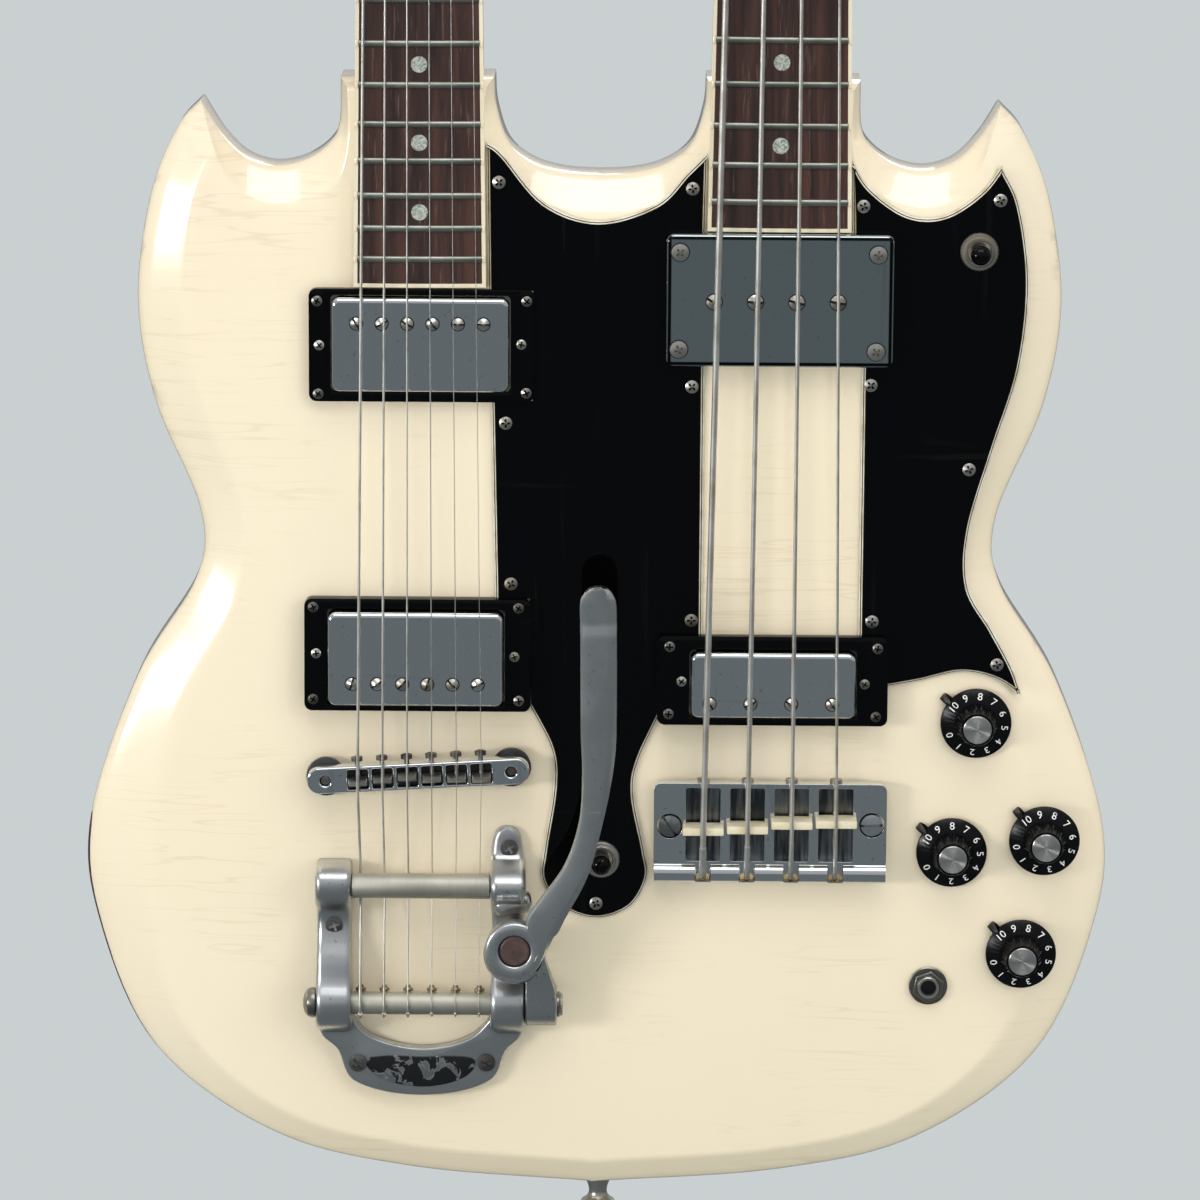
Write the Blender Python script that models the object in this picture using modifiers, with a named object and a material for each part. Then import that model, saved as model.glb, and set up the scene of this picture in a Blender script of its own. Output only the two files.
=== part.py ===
"""Double-neck electric guitar: a six-string neck and a four-string bass neck on one solid body.

Metres, +Z up along the necks, +X to the viewer's right, the front faces -Y.
The origin lies on the flat back of the body, on its centre line, at mid height.
"""
import math

import bmesh
import bpy
from mathutils import Matrix, Vector

for leftover in list(bpy.data.objects):
    bpy.data.objects.remove(leftover)

MM = 0.001
GAP = 0.3 * MM

# Body: half of a symmetric outline (x, z), each point with the bevel's crease beside it (x, z)
BODY_THICKNESS = 38 * MM
FRONT_BEVEL_DROP = 10 * MM
BACK_BEVEL_DROP = 6 * MM
BACK_BEVEL_SHARE = 0.45
BODY_OUTER_EDGE = [
    (0, -228, 0, -216), (75, -222, 73, -210), (131, -207.5, 126, -195.5),
    (178.5, -171.5, 165, -160.5), (201, -118, 178.5, -113), (203.5, -75, 177.5, -79),
    (184, -17.5, 165.5, -27), (160.5, 22, 144, 15), (158.5, 50, 141, 54), (176, 94, 158, 99),
    (182.6, 135, 163.6, 136), (177, 177, 160.5, 171), (166.5, 203, 155, 188), (157, 214.2, 151, 195),
]
BODY_CUTAWAY_EDGE = [
    (157, 214.2, 151, 195), (149, 201.5, 146, 185), (139.5, 192, 138.5, 177),
    (128, 188.4, 128, 173.4), (116, 190.8, 115, 176), (106.5, 197.5, 103, 184),
    (102.5, 206, 98.5, 202), (102, 223.8, 98.8, 220.6),
]
BODY_CROTCH_EDGE = [
    (41.5, 224.6, 44.8, 221), (40.5, 212, 46, 209), (35.5, 197.8, 43.5, 192), (25.5, 190, 31, 178.5),
    (13, 186.6, 15, 172), (0, 185.8, 0, 171),
]
EDGE_STEPS = 3
ABOVE = 30 * MM

# Necks: both lean slightly outward and fall back toward the head
NECK_X = 70.4 * MM
NECK_X_AT_Z = 143 * MM
NECK_LEAN = math.radians(0.2)
BOARD_THICKNESS = 5.5 * MM
FRET_COUNT = 20
FRET_HEIGHT = 1.1 * MM
FRET_WIDTH = 2.4 * MM
NECK_DEPTH_NUT = 15.5 * MM
NECK_DEPTH_HEEL = 19 * MM
NECK_SHOULDER = 2 * MM
NECK_ROUND_STEPS = 8
HEEL_BLOCK_DEPTH = 21 * MM
HEEL_BLOCK_SETBACK = 3 * MM
NUT_LENGTH = 5 * MM
NUT_RISE = 1.6 * MM
HEAD_ANGLE = math.radians(15)
HEAD_THICKNESS = 15 * MM
HEAD_OVERLAP = 4 * MM
GUITAR = {
    "name": "guitar", "side": -1, "scale": 647.7 * MM, "bridge_z": -50 * MM,
    "board_end_z": 142.9 * MM, "board_end_h": 7 * MM, "pitch": math.radians(1.8),
    "nut_width": 42.5 * MM, "end_width": 52 * MM,
    "head_half_outline": [(21.5, 0), (24, 9), (33, 30), (37, 50), (40, 155), (36, 178), (21, 189), (0, 192)],
    "strings": [1.17, 0.91, 0.66, 0.43, 0.33, 0.25],
    "saddle_spread": 49.2 * MM, "nut_spread": 35.5 * MM,
    "saddle_h": 16.4 * MM, "saddle_z": [-55.6, -54.4, -53.3, -53.7, -53.6, -53.4],
    "post_radius": 3 * MM, "post_x": 22.5 * MM, "post_y": [45, 85, 125], "post_above": 9 * MM,
}
BASS = {
    "name": "bass", "side": 1, "scale": 774.7 * MM, "bridge_z": -66.6 * MM,
    "board_end_z": 165.7 * MM, "board_end_h": 6.4 * MM, "pitch": math.radians(1.3),
    "nut_width": 41.5 * MM, "end_width": 56.4 * MM,
    "head_half_outline": [(21, 0), (24, 9), (36, 32), (42, 54), (46, 160), (41, 186), (24, 199), (0, 203)],
    "strings": [2.5, 2.0, 1.6, 1.14],
    "saddle_spread": 53 * MM, "nut_spread": 32 * MM,
    "saddle_h": 16.2 * MM, "saddle_z": [-74.4, -73.6, -71.5, -70.9],
    "post_radius": 4.6 * MM, "post_x": 27 * MM, "post_y": [62, 122], "post_above": 12 * MM,
}

# Pickups and rings: (left x, right x, bottom z, top z) on the front face
GUITAR_NECK_COVER = (-105.2, -35.2, 101.2, 138.8)
GUITAR_NECK_RING = (-114.2, -25.5, 96.8, 141.7)
GUITAR_BRIDGE_COVER = (-106.9, -37.1, -24.7, 13.2)
GUITAR_BRIDGE_RING = (-116.3, -26.3, -27.4, 17.7)
BASS_NECK_COVER = (26.1, 115.9, 112.2, 165.1)
BASS_NECK_COIL = (46, 96, 124, 153)
BASS_BRIDGE_COVER = (37.3, 103.0, -28.6, -2.1)
BASS_BRIDGE_RING = (24.1, 115.7, -32.2, 3.7)
PICKUP_DEPTH = 14 * MM
PICKUP_ROUTE_DEPTH = 19 * MM
PICKUP_ROUTE_MARGIN = 1.2 * MM
PICKUP_CORNER = 3 * MM
COVER_CORNER = 2 * MM
NECK_RING_HEIGHT = 4 * MM
BRIDGE_RING_HEIGHT = 8 * MM
NECK_COVER_HEIGHT = 8 * MM
BRIDGE_COVER_HEIGHT = 11.8 * MM
BASS_NECK_COVER_HEIGHT = 8.6 * MM

# Pickguard outline on the front face (x, z): flowing runs between sharp tips
GUARD_THICKNESS = 2.3 * MM
GUARD_CROTCH_RUN = [
    (-45.5, 200.3), (-38, 195), (-21.5, 176), (-0.5, 169), (22, 175.7), (34, 188), (44, 198),
]
GUARD_HORN_RUN = [
    (98, 195.2), (105.2, 183.3), (117.2, 173.9), (127.7, 171), (138.2, 173.3), (149.9, 181.9),
    (157.3, 191.8),
]
GUARD_SIDE_RUN = [
    (157.3, 191.8), (164.8, 175.5), (169, 145), (165.9, 111.1), (156.4, 79), (147.5, 46.7),
    (147.3, 23.5), (157, 6.2), (165.5, -9.5), (169.5, -20.9),
]
GUARD_LOWER_RUN = [(169.5, -20.9), (158.4, -14), (144.7, -11.5), (129.2, -15.1), (114, -18)]
GUARD_TONGUE_RUN = [
    (25.5, -29.5), (17, -49), (15.3, -63), (19.7, -85.4), (20.8, -97), (14, -109), (0, -114),
    (-14, -109), (-21.6, -98), (-21, -85.7), (-17.2, -60), (-18.4, -44), (-27.5, -28.5),
]
GUARD_NECK_SIDE = [(-40.5, -5), (-40.7, 16.9), (-42.5, 95.9), (-44.1, 141.4)]
GUARD_WINDOW = (41.8, 103.8, 2.2, 116)

# Controls on the front face (x, z)
KNOB_PLACES = [(151.3, -32), (179.6, -80.1), (142.5, -85.2), (171.1, -127)]
KNOB_SKIRT_RADIUS = 14.2 * MM
KNOB_HEIGHT = 14.5 * MM
KNOB_CAP_RADIUS = 5.6 * MM
SHAFT_RADIUS = 3 * MM
SHAFT_DEPTH = 14 * MM
TOGGLE_PLACES = {"upper": (149.1, 157.9), "lower": (2.2, -89)}
TOGGLE_NUT_RADIUS = 7.7 * MM
TOGGLE_NUT_HEIGHT = 2.4 * MM
TOGGLE_BARREL_RADIUS = 6 * MM
TOGGLE_BORE_RADIUS = 4.5 * MM
TOGGLE_BARREL_DEPTH = 16 * MM
TOGGLE_TIP_HEIGHT = 15.5 * MM
TOGGLE_TIP_RADIUS = 4 * MM
TOGGLE_TIP_LENGTH = 7 * MM
TOGGLE_ROD_RADIUS = 1.6 * MM
TOGGLE_PIVOT_DEPTH = 2 * MM
JACK_PLACE = (134.1, -140.9)
JACK_WASHER_RADIUS = 7.75 * MM
JACK_BARREL_RADIUS = 4.35 * MM
JACK_SOCKET_RADIUS = 3.2 * MM
JACK_DEPTH = 22 * MM
JACK_HEIGHT = 4.4 * MM
JACK_NUT_RADIUS = 6.6 * MM
JACK_NUT_HEIGHT = 3.4 * MM
JACK_WASHER_HEIGHT = 1.5 * MM
CAVITY_OUTLINE = [(128, -22), (166, -16), (190, -62), (186, -120), (160, -152), (122, -150), (126, -90)]
CAVITY_DEPTH = 28 * MM
COVER_THICKNESS = 2 * MM
COVER_LIP = 6 * MM

# Guitar bridge: a slanted bar on two posts
BRIDGE_POSTS = [(-107.9, -55.2), (-33.9, -50.9)]
BRIDGE_BAR_WIDTH = 10.6 * MM
BRIDGE_END_OVERHANG = 7.2 * MM
BRIDGE_BAR_LOW = 6.5 * MM
BRIDGE_BAR_HIGH = 12.6 * MM
BRIDGE_POST_RADIUS = 3 * MM
BRIDGE_POST_DEPTH = 14 * MM
THUMBWHEEL_RADIUS = 7.2 * MM
THUMBWHEEL_LOW = 3 * MM
THUMBWHEEL_HIGH = 4.8 * MM
SADDLE_WIDTH = 7.4 * MM
SADDLE_LENGTH = 3.4 * MM

# Bass bridge: a plate with four windows and a rolled rear lip
BASS_BRIDGE_PLATE = (23.1, 116.1, -91, -56.1)
BASS_BRIDGE_LOW = 2 * MM
BASS_BRIDGE_HIGH = 8 * MM
BASS_BRIDGE_LIP_Z = -93 * MM
BASS_BRIDGE_LIP_RADIUS = 4 * MM
BASS_BRIDGE_LIP_H = 6.5 * MM
BASS_WINDOW_WIDTH = 13.8 * MM
BASS_WINDOW_ENDS = (-88, -58)
BASS_SADDLE_SIZE = (16.4 * MM, 5 * MM)
BASS_STUDS = [(29.5, -73.7), (110.2, -72.8)]

# Vibrato: a cast horseshoe with a roller bar and a string bar between two legs
LEFT_LEG = (-112, -97.6)
RIGHT_LEG = (-41.9, -27.9)
ROLLER_Z = -98.4 * MM
STRING_BAR_Z = -147 * MM
BARS_H = 11 * MM
ROLLER_RADIUS = 5 * MM
JOURNAL_RADIUS = 2.6 * MM
JOURNAL_LENGTH = 6 * MM
STRING_BAR_RADIUS = 4.55 * MM
LEFT_LEG_PROFILE = [
    (-160.5, 0.3), (-160.5, 5), (-157, 13), (-151, 17.6), (-144, 17.6), (-138, 14.2), (-129, 12.6),
    (-121, 9), (-112, 7.5), (-106.5, 12.5), (-101, 17.4), (-94.5, 17), (-90, 11), (-90, 0.3),
]
RIGHT_WEB_H = 7.5
RIGHT_LEG_PROFILE = [
    (-160.5, 0.3), (-160.5, 5), (-157, 13), (-151, 17.6), (-144, 17.6), (-137, 13),
    (-130, RIGHT_WEB_H), (-111, RIGHT_WEB_H), (-106.5, 12.5), (-102, 17.2), (-95, 17.4), (-90, 10),
    (-87.5, 4.5), (-75.6, 4), (-75.6, 0.3),
]
HORSESHOE_OUTER = [
    (-28.3, -158.5), (-35, -166.5), (-39, -180), (-52, -185.3), (-69, -187.4), (-85, -185.3),
    (-99, -180), (-103, -167), (-111.6, -158.5),
]
HORSESHOE_INNER = [
    (-98, -154), (-92, -161.2), (-82, -165.5), (-69.5, -167.3), (-57, -165.5), (-48, -161.2),
    (-41.5, -154),
]
HORSESHOE_HEIGHT = 5.6 * MM
STRING_PIN_SPREAD = 47.6 * MM
STRING_PINS_X = -70.2 * MM
STRING_PIN_RADIUS = 1.9 * MM
STRING_PIN_REACH = 7.6 * MM
STRING_PIN_DROP = math.radians(15)
BAR_CAP_RADIUS = 5.2 * MM
BAR_CAP_LENGTH = 4.8 * MM
BAR_END_LENGTH = 2.3 * MM
BRACKET_WIDTH = 12.4 * MM
BRACKET_SHELF = (19.2, 23.2)
BRACKET_PROFILE = [
    (-155.5, 8), (-155.5, 14), (-151, 18), (-140, 19.5), (-131, BRACKET_SHELF[1]),
    (-109, BRACKET_SHELF[1]), (-109, BRACKET_SHELF[0]), (-126, BRACKET_SHELF[0]), (-136, 13),
    (-140, 5), (-150, 3.6),
]
ARM_EYE = (-31.95, -119.9)
ARM_EYE_RADIUS = 11.6 * MM
ARM_BOLT_RADIUS = 6.2 * MM
ARM_HIGH = 31 * MM
ARM_THICKNESS = 4 * MM
ARM_EYE_SETBACK = 0.2 * MM
ARM_RISE = 6 * MM
ARM_CENTRE_LINE = [
    (-25.5, -112.5, 9), (-17.5, -102.2, 6), (-7.6, -86.9, 5), (-2, -67.9, 4.7), (0.6, -47.8, 6),
    (1.1, -28, 7.1), (0.8, 8, 7.2), (0.6, 23.5, 7.2), (0.6, 29.5, 3.6),
]
SPRING_RADIUS = 5 * MM
SPRING_WIRE_RADIUS = 1.1 * MM
SPRING_TURNS = 3.5
SPRING_STEPS = 8

# Tuners, truss rod covers and strap buttons
TUNER_PLATE_THICKNESS = 2.4 * MM
TUNER_PLATE_WIDTH = 15 * MM
TUNER_PLATE_END = 12 * MM
TUNER_HOUSING_DEPTH = 9.2 * MM
TUNER_HOUSING_HALF = 7 * MM
TUNER_HOUSING_INSET = 1 * MM
POST_TOP = 3 * MM
TUNER_SHAFT_RADIUS = 2 * MM
TUNER_SHAFT_DEPTH = 6 * MM
BUTTON_SEAT = 3 * MM
BUTTON_THICKNESS = 6.5 * MM
BUTTON_PROFILE = [(4, 19), (8.5, 22), (8.5, 29), (6, 33)]
TRUSS_COVER_OUTLINE = [(-11, 8), (11, 8), (9, 30), (4, 40), (-4, 40), (-9, 30)]
TRUSS_COVER_THICKNESS = 1.6 * MM
STRAP_BUTTON_RADIUS = 7 * MM
STRAP_BUTTON_HEIGHT = 12 * MM
STRAP_BUTTON_WAIST = 3.6 * MM
STRAP_BUTTON_BOTTOM_X = 1.5 * MM
STRAP_BUTTON_HEEL_Z = 168 * MM


# Construction helpers

parts = bpy.data.collections.new("double_neck_guitar")
cutters = bpy.data.collections.new("cutters")
for group in (parts, cutters):
    bpy.context.scene.collection.children.link(group)


def frame(name, parent, matrix):
    """An empty that carries a sub-assembly's own axes."""
    empty = bpy.data.objects.new(name, None)
    parts.objects.link(empty)
    empty.parent = parent
    empty.matrix_local = matrix
    bpy.context.view_layer.update()
    return empty


def finish(name, colour, roughness, metallic):
    look = bpy.data.materials.new(name)
    look.use_nodes = True
    shader = look.node_tree.nodes["Principled BSDF"]
    shader.inputs["Base Color"].default_value = (*colour, 1)
    shader.inputs["Roughness"].default_value = roughness
    shader.inputs["Metallic"].default_value = metallic
    return look


def piece(name, mesh, parent, colour, roughness, metallic=0.0):
    """A sub-part with its own material, shaded smooth except at its edges."""
    thing = bpy.data.objects.new(name, mesh)
    thing.parent = parent
    mesh.materials.clear()
    mesh.materials.append(finish(name, colour, roughness, metallic))
    mesh.shade_smooth()
    mesh.set_sharp_from_angle(angle=math.radians(35))
    parts.objects.link(thing)
    return thing


def shape(thing, mesh, operation, parent):
    """Cut a shape from a sub-part, or join one to it."""
    tool = bpy.data.objects.new(thing.name + "_tool", mesh)
    tool.parent = parent
    tool.display_type = "WIRE"
    tool.hide_render = True
    cutters.objects.link(tool)
    boolean = thing.modifiers.new(operation.lower(), "BOOLEAN")
    boolean.operation = operation
    boolean.solver = "EXACT"
    boolean.object = tool


def cut(thing, mesh, parent=None):
    shape(thing, mesh, "DIFFERENCE", parent or thing.parent)


def join(thing, mesh, parent=None):
    shape(thing, mesh, "UNION", parent or thing.parent)


def as_mesh(data, weld=0.00001):
    """The mesh that a curve or a mesh with modifiers makes."""
    bpy.context.scene.collection.objects.link(data)
    bpy.context.view_layer.update()
    evaluated = data.evaluated_get(bpy.context.evaluated_depsgraph_get())
    mesh = bpy.data.meshes.new_from_object(evaluated)
    bpy.data.objects.remove(data)
    shell = bmesh.new()
    shell.from_mesh(mesh)
    bmesh.ops.remove_doubles(shell, verts=shell.verts, dist=weld)
    bmesh.ops.recalc_face_normals(shell, faces=shell.faces)
    shell.to_mesh(mesh)
    shell.free()
    return mesh


def extruded(outline, low, high, holes=(), along="Z"):
    """A flat outline in metres, raised from low to high; along X it is drawn in (z, height)."""
    curve = bpy.data.curves.new("outline", "CURVE")
    curve.dimensions = "2D"
    curve.fill_mode = "BOTH"
    curve.extrude = (high - low) / 2
    for loop in (outline, *holes):
        spline = curve.splines.new("POLY")
        spline.points.add(len(loop) - 1)
        spline.use_cyclic_u = True
        for point, place in zip(spline.points, loop):
            point.co = (place[0], place[1], 0, 1)
    mesh = as_mesh(bpy.data.objects.new("outline", curve))
    mesh.transform(Matrix.Translation((0, 0, (low + high) / 2)))
    if along == "X":
        mesh.transform(Matrix(((0, 0, 1, 0), (1, 0, 0, 0), (0, 1, 0, 0), (0, 0, 0, 1))))
    return mesh


def turned(profile, segments=16):
    """A shape turned about its Z axis; the profile runs down its outer side."""
    mesh = bpy.data.meshes.new("profile")
    edges = [(index, index + 1) for index in range(len(profile) - 1)]
    if profile[0][0] > 0:
        edges.append((len(profile) - 1, 0))
    mesh.from_pydata([(radius, 0, height) for radius, height in profile], edges, [])
    blank = bpy.data.objects.new("profile", mesh)
    screw = blank.modifiers.new("turn", "SCREW")
    screw.axis = "Z"
    screw.steps = segments
    screw.render_steps = segments
    screw.use_merge_vertices = True
    screw.merge_threshold = 0.00001
    return as_mesh(blank)


def cylinder(radius, low, high, centre=(0, 0), along="Z", segments=16):
    """A cylinder from low to high along its axis; the centre is (x, y), or (y, z) along X."""
    shell = bmesh.new()
    middle = Matrix.Translation((0, 0, (low + high) / 2))
    bmesh.ops.create_cone(shell, cap_ends=True, segments=segments, radius1=radius, radius2=radius,
                          depth=high - low, matrix=middle)
    if along == "X":
        bmesh.ops.rotate(shell, verts=shell.verts, matrix=Matrix.Rotation(math.radians(90), 3, "Y"))
        bmesh.ops.translate(shell, verts=shell.verts, vec=(0, *centre))
    else:
        bmesh.ops.translate(shell, verts=shell.verts, vec=(*centre, 0))
    mesh = bpy.data.meshes.new("cylinder")
    shell.to_mesh(mesh)
    shell.free()
    return mesh


def box(low, high):
    shell = bmesh.new()
    size = Vector(high) - Vector(low)
    bmesh.ops.create_cube(shell, size=1.0, matrix=Matrix.Diagonal((*size, 1)))
    bmesh.ops.translate(shell, verts=shell.verts, vec=(Vector(high) + Vector(low)) / 2)
    mesh = bpy.data.meshes.new("box")
    shell.to_mesh(mesh)
    shell.free()
    return mesh


def tube(points, radius, roundness=1):
    curve = bpy.data.curves.new("tube", "CURVE")
    curve.dimensions = "3D"
    curve.bevel_depth = radius
    curve.bevel_resolution = roundness
    curve.use_fill_caps = True
    spline = curve.splines.new("POLY")
    spline.points.add(len(points) - 1)
    for point, place in zip(spline.points, points):
        point.co = (*place, 1)
    return as_mesh(bpy.data.objects.new("tube", curve), weld=radius * 0.02)


def loft(sections):
    """A closed skin through rings that each have the same number of points."""
    shell = bmesh.new()
    rings = [[shell.verts.new(point) for point in section] for section in sections]
    count = len(rings[0])
    for first, second in zip(rings, rings[1:]):
        for index in range(count):
            after = (index + 1) % count
            shell.faces.new((first[index], first[after], second[after], second[index]))
    shell.faces.new(rings[0])
    shell.faces.new(rings[-1])
    bmesh.ops.recalc_face_normals(shell, faces=shell.faces)
    mesh = bpy.data.meshes.new("loft")
    shell.to_mesh(mesh)
    shell.free()
    return mesh


def flowing(points, steps=EDGE_STEPS):
    """A smooth run through points given in millimetres, any number of values each."""
    ends = [tuple(2 * a - b for a, b in zip(points[0], points[1])),
            tuple(2 * a - b for a, b in zip(points[-1], points[-2]))]
    padded = [ends[0], *points, ends[1]]
    run = []
    for before, start, end, after in zip(padded, padded[1:], padded[2:], padded[3:]):
        for step in range(steps):
            t = step / steps
            run.append(tuple(
                MM * 0.5 * (2 * b + (c - a) * t + (2 * a - 5 * b + 4 * c - d) * t ** 2
                            + (3 * b - a - 3 * c + d) * t ** 3)
                for a, b, c, d in zip(before, start, end, after)))
    run.append(tuple(MM * value for value in points[-1]))
    return run


def metres(points):
    return [tuple(MM * value for value in point) for point in points]


def rounded_box(sides, margin=0.0, corner=PICKUP_CORNER, steps=2):
    """The outline of a box (left, right, bottom, top) in millimetres, grown by a margin in metres."""
    left, right, bottom, top = (MM * side for side in sides)
    left, right, bottom, top = left - margin, right + margin, bottom - margin, top + margin
    centres = [(right - corner, top - corner), (left + corner, top - corner),
               (left + corner, bottom + corner), (right - corner, bottom + corner)]
    outline = []
    for quarter, (x, z) in enumerate(centres):
        for step in range(steps + 1):
            angle = (quarter + step / steps) * math.pi / 2
            outline.append((x + corner * math.cos(angle), z + corner * math.sin(angle)))
    return outline


# The face frame: x to the right, y up the body, z out of the front face
face = frame("face_frame", None,
             Matrix.Translation((0, -BODY_THICKNESS, 0)) @ Matrix.Rotation(math.pi / 2, 4, "X"))


# Body

def body_ring(bevel_share, height):
    """The whole outline at one height, moved toward the crease by a share of the bevel."""
    half = flowing(BODY_OUTER_EDGE)[:-1] + flowing(BODY_CUTAWAY_EDGE) + flowing(BODY_CROTCH_EDGE)
    whole = half + [(-x, z, -crease_x, crease_z) for x, z, crease_x, crease_z in reversed(half[1:-1])]
    return [(x + (crease_x - x) * bevel_share, z + (crease_z - z) * bevel_share, height)
            for x, z, crease_x, crease_z in whole]


body = piece("body", loft([
    body_ring(BACK_BEVEL_SHARE, -BODY_THICKNESS), body_ring(0, BACK_BEVEL_DROP - BODY_THICKNESS),
    body_ring(0, -FRONT_BEVEL_DROP), body_ring(1, 0),
]), face, (0.90, 0.80, 0.60), 0.25)

for cover in (GUITAR_NECK_COVER, GUITAR_BRIDGE_COVER, BASS_NECK_COIL, BASS_BRIDGE_COVER):
    cut(body, extruded(rounded_box(cover, PICKUP_ROUTE_MARGIN), -PICKUP_ROUTE_DEPTH, ABOVE))
cavity = metres(CAVITY_OUTLINE)
cavity_centre = sum((Vector(point) for point in cavity), Vector((0, 0))) / len(cavity)
recess = [point + (Vector(point) - cavity_centre).normalized() * COVER_LIP for point in map(Vector, cavity)]
cut(body, extruded(cavity, -BODY_THICKNESS - ABOVE, CAVITY_DEPTH - BODY_THICKNESS))
cut(body, extruded(recess, -BODY_THICKNESS - ABOVE, COVER_THICKNESS + GAP - BODY_THICKNESS))
for place in KNOB_PLACES:
    cut(body, cylinder(SHAFT_RADIUS + GAP, -BODY_THICKNESS / 2, ABOVE, metres([place])[0]))
for place in TOGGLE_PLACES.values():
    cut(body, cylinder(TOGGLE_BARREL_RADIUS + GAP, -TOGGLE_BARREL_DEPTH - GAP, ABOVE, metres([place])[0]))
cut(body, cylinder(JACK_BARREL_RADIUS + GAP, -BODY_THICKNESS / 2, ABOVE, metres([JACK_PLACE])[0]))
for place in BRIDGE_POSTS + BASS_STUDS:
    cut(body, cylinder(BRIDGE_POST_RADIUS + GAP, -BRIDGE_POST_DEPTH - GAP, ABOVE, metres([place])[0]))

cover_outline = [point + (Vector(point) - cavity_centre).normalized() * (COVER_LIP - 2 * GAP)
                 for point in map(Vector, cavity)]
piece("control_cover", extruded(cover_outline, -BODY_THICKNESS, COVER_THICKNESS - BODY_THICKNESS),
      face, (0.02, 0.02, 0.02), 0.4)


# Necks, each in its own frame: y along the neck from the board's body end, z out of the board

def neck_frame(neck):
    side = neck["side"]
    drift = (neck["board_end_z"] - NECK_X_AT_Z) * math.tan(NECK_LEAN)
    start = Vector((side * (NECK_X + drift), neck["board_end_z"], neck["board_end_h"]))
    lean = Matrix.Rotation(-side * NECK_LEAN, 4, "Z")
    pitch = Matrix.Rotation(-neck["pitch"], 4, "X")
    return frame(neck["name"] + "_neck_frame", face, Matrix.Translation(start) @ lean @ pitch)


def board_half_width(neck, y):
    share = y / nut_place(neck)
    return (neck["end_width"] + (neck["nut_width"] - neck["end_width"]) * share) / 2


def nut_place(neck):
    return neck["bridge_z"] + neck["scale"] - neck["board_end_z"]


def fret_places(neck):
    return [nut_place(neck) - neck["scale"] * (1 - 2 ** (-fret / 12)) for fret in range(1, FRET_COUNT + 1)]


def board_footprint(neck, margin, low, high):
    """A block that clears the board where it lies over the body."""
    length = nut_place(neck)
    first = board_half_width(neck, 0) + margin
    last = board_half_width(neck, length) + margin
    outline = [(-first, -margin), (first, -margin), (last, length), (-last, length)]
    return extruded(outline, low, high)


def fingerboard(neck, parent):
    """A tapered board whose top steps up at each fret."""
    outline = [(0, -BOARD_THICKNESS), (nut_place(neck), -BOARD_THICKNESS), (nut_place(neck), 0)]
    for place in fret_places(neck):
        outline += [(place + FRET_WIDTH / 2, 0), (place + FRET_WIDTH / 4, FRET_HEIGHT),
                    (place - FRET_WIDTH / 4, FRET_HEIGHT), (place - FRET_WIDTH / 2, 0)]
    outline.append((0, 0))
    mesh = extruded(outline, -0.5, 0.5, along="X")
    for vertex in mesh.vertices:
        vertex.co.x *= 2 * board_half_width(neck, vertex.co.y)
    return piece(neck["name"] + "_fingerboard", mesh, parent, (0.13, 0.06, 0.04), 0.5)


def neck_section(neck, y, depth):
    """A D-shaped ring: flat under the board, rounded behind."""
    half = board_half_width(neck, min(y, nut_place(neck)))
    top = -BOARD_THICKNESS - GAP
    shoulder = top - NECK_SHOULDER
    ring = [(half, y, top), (half, y, shoulder)]
    for step in range(1, NECK_ROUND_STEPS):
        angle = math.pi * step / NECK_ROUND_STEPS
        ring.append((half * math.cos(angle), y, shoulder - (depth - NECK_SHOULDER) * math.sin(angle) ** 0.75))
    return ring + [(-half, y, shoulder), (-half, y, top)]


def head_frame(neck, parent):
    end = nut_place(neck) + NUT_LENGTH + 2 * GAP
    top = -BOARD_THICKNESS - GAP - 1.2 * MM
    return frame(neck["name"] + "_head_frame", parent,
                 Matrix.Translation((0, end, top)) @ Matrix.Rotation(-HEAD_ANGLE, 4, "X"))


def heel_length(neck):
    return BODY_CROTCH_EDGE[0][1] * MM - neck["board_end_z"]


def neck_wood(neck, parent, head):
    heel = heel_length(neck)
    end = nut_place(neck) + NUT_LENGTH + 2 * GAP
    wood = piece(neck["name"] + "_neck", loft([
        neck_section(neck, heel - 20 * MM, NECK_DEPTH_HEEL),
        neck_section(neck, heel + 40 * MM, NECK_DEPTH_HEEL),
        neck_section(neck, heel + 120 * MM, (NECK_DEPTH_HEEL + NECK_DEPTH_NUT) / 2),
        neck_section(neck, end - 40 * MM, NECK_DEPTH_NUT),
        neck_section(neck, end, NECK_DEPTH_NUT),
    ]), parent, (0.90, 0.80, 0.60), 0.25)
    half = neck["end_width"] / 2
    block_top = -BOARD_THICKNESS - GAP - 0.05 * MM
    join(wood, box((-half, HEEL_BLOCK_SETBACK, -BOARD_THICKNESS - HEEL_BLOCK_DEPTH), (half, heel, block_top)))
    half_outline = neck["head_half_outline"]
    outline = flowing(half_outline + [(-x, y) for x, y in reversed(half_outline[:-1])], 2)
    root = half_outline[0][0] * MM
    join(wood, extruded([*outline, (-root, -HEAD_OVERLAP), (root, -HEAD_OVERLAP)], -HEAD_THICKNESS, 0), head)
    hole = neck["post_radius"] + GAP
    for place in post_places(neck):
        cut(wood, cylinder(hole, -HEAD_THICKNESS - ABOVE, ABOVE, place, segments=12), head)
    cut(body, box((-half - GAP, HEEL_BLOCK_SETBACK - GAP, -BOARD_THICKNESS - HEEL_BLOCK_DEPTH - GAP),
                  (half + GAP, heel + ABOVE, ABOVE)), parent)
    cut(body, board_footprint(neck, GAP, -BOARD_THICKNESS - GAP, ABOVE), parent)


def post_places(neck):
    return [(side * neck["post_x"], MM * y) for side in (-1, 1) for y in neck["post_y"]]


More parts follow.
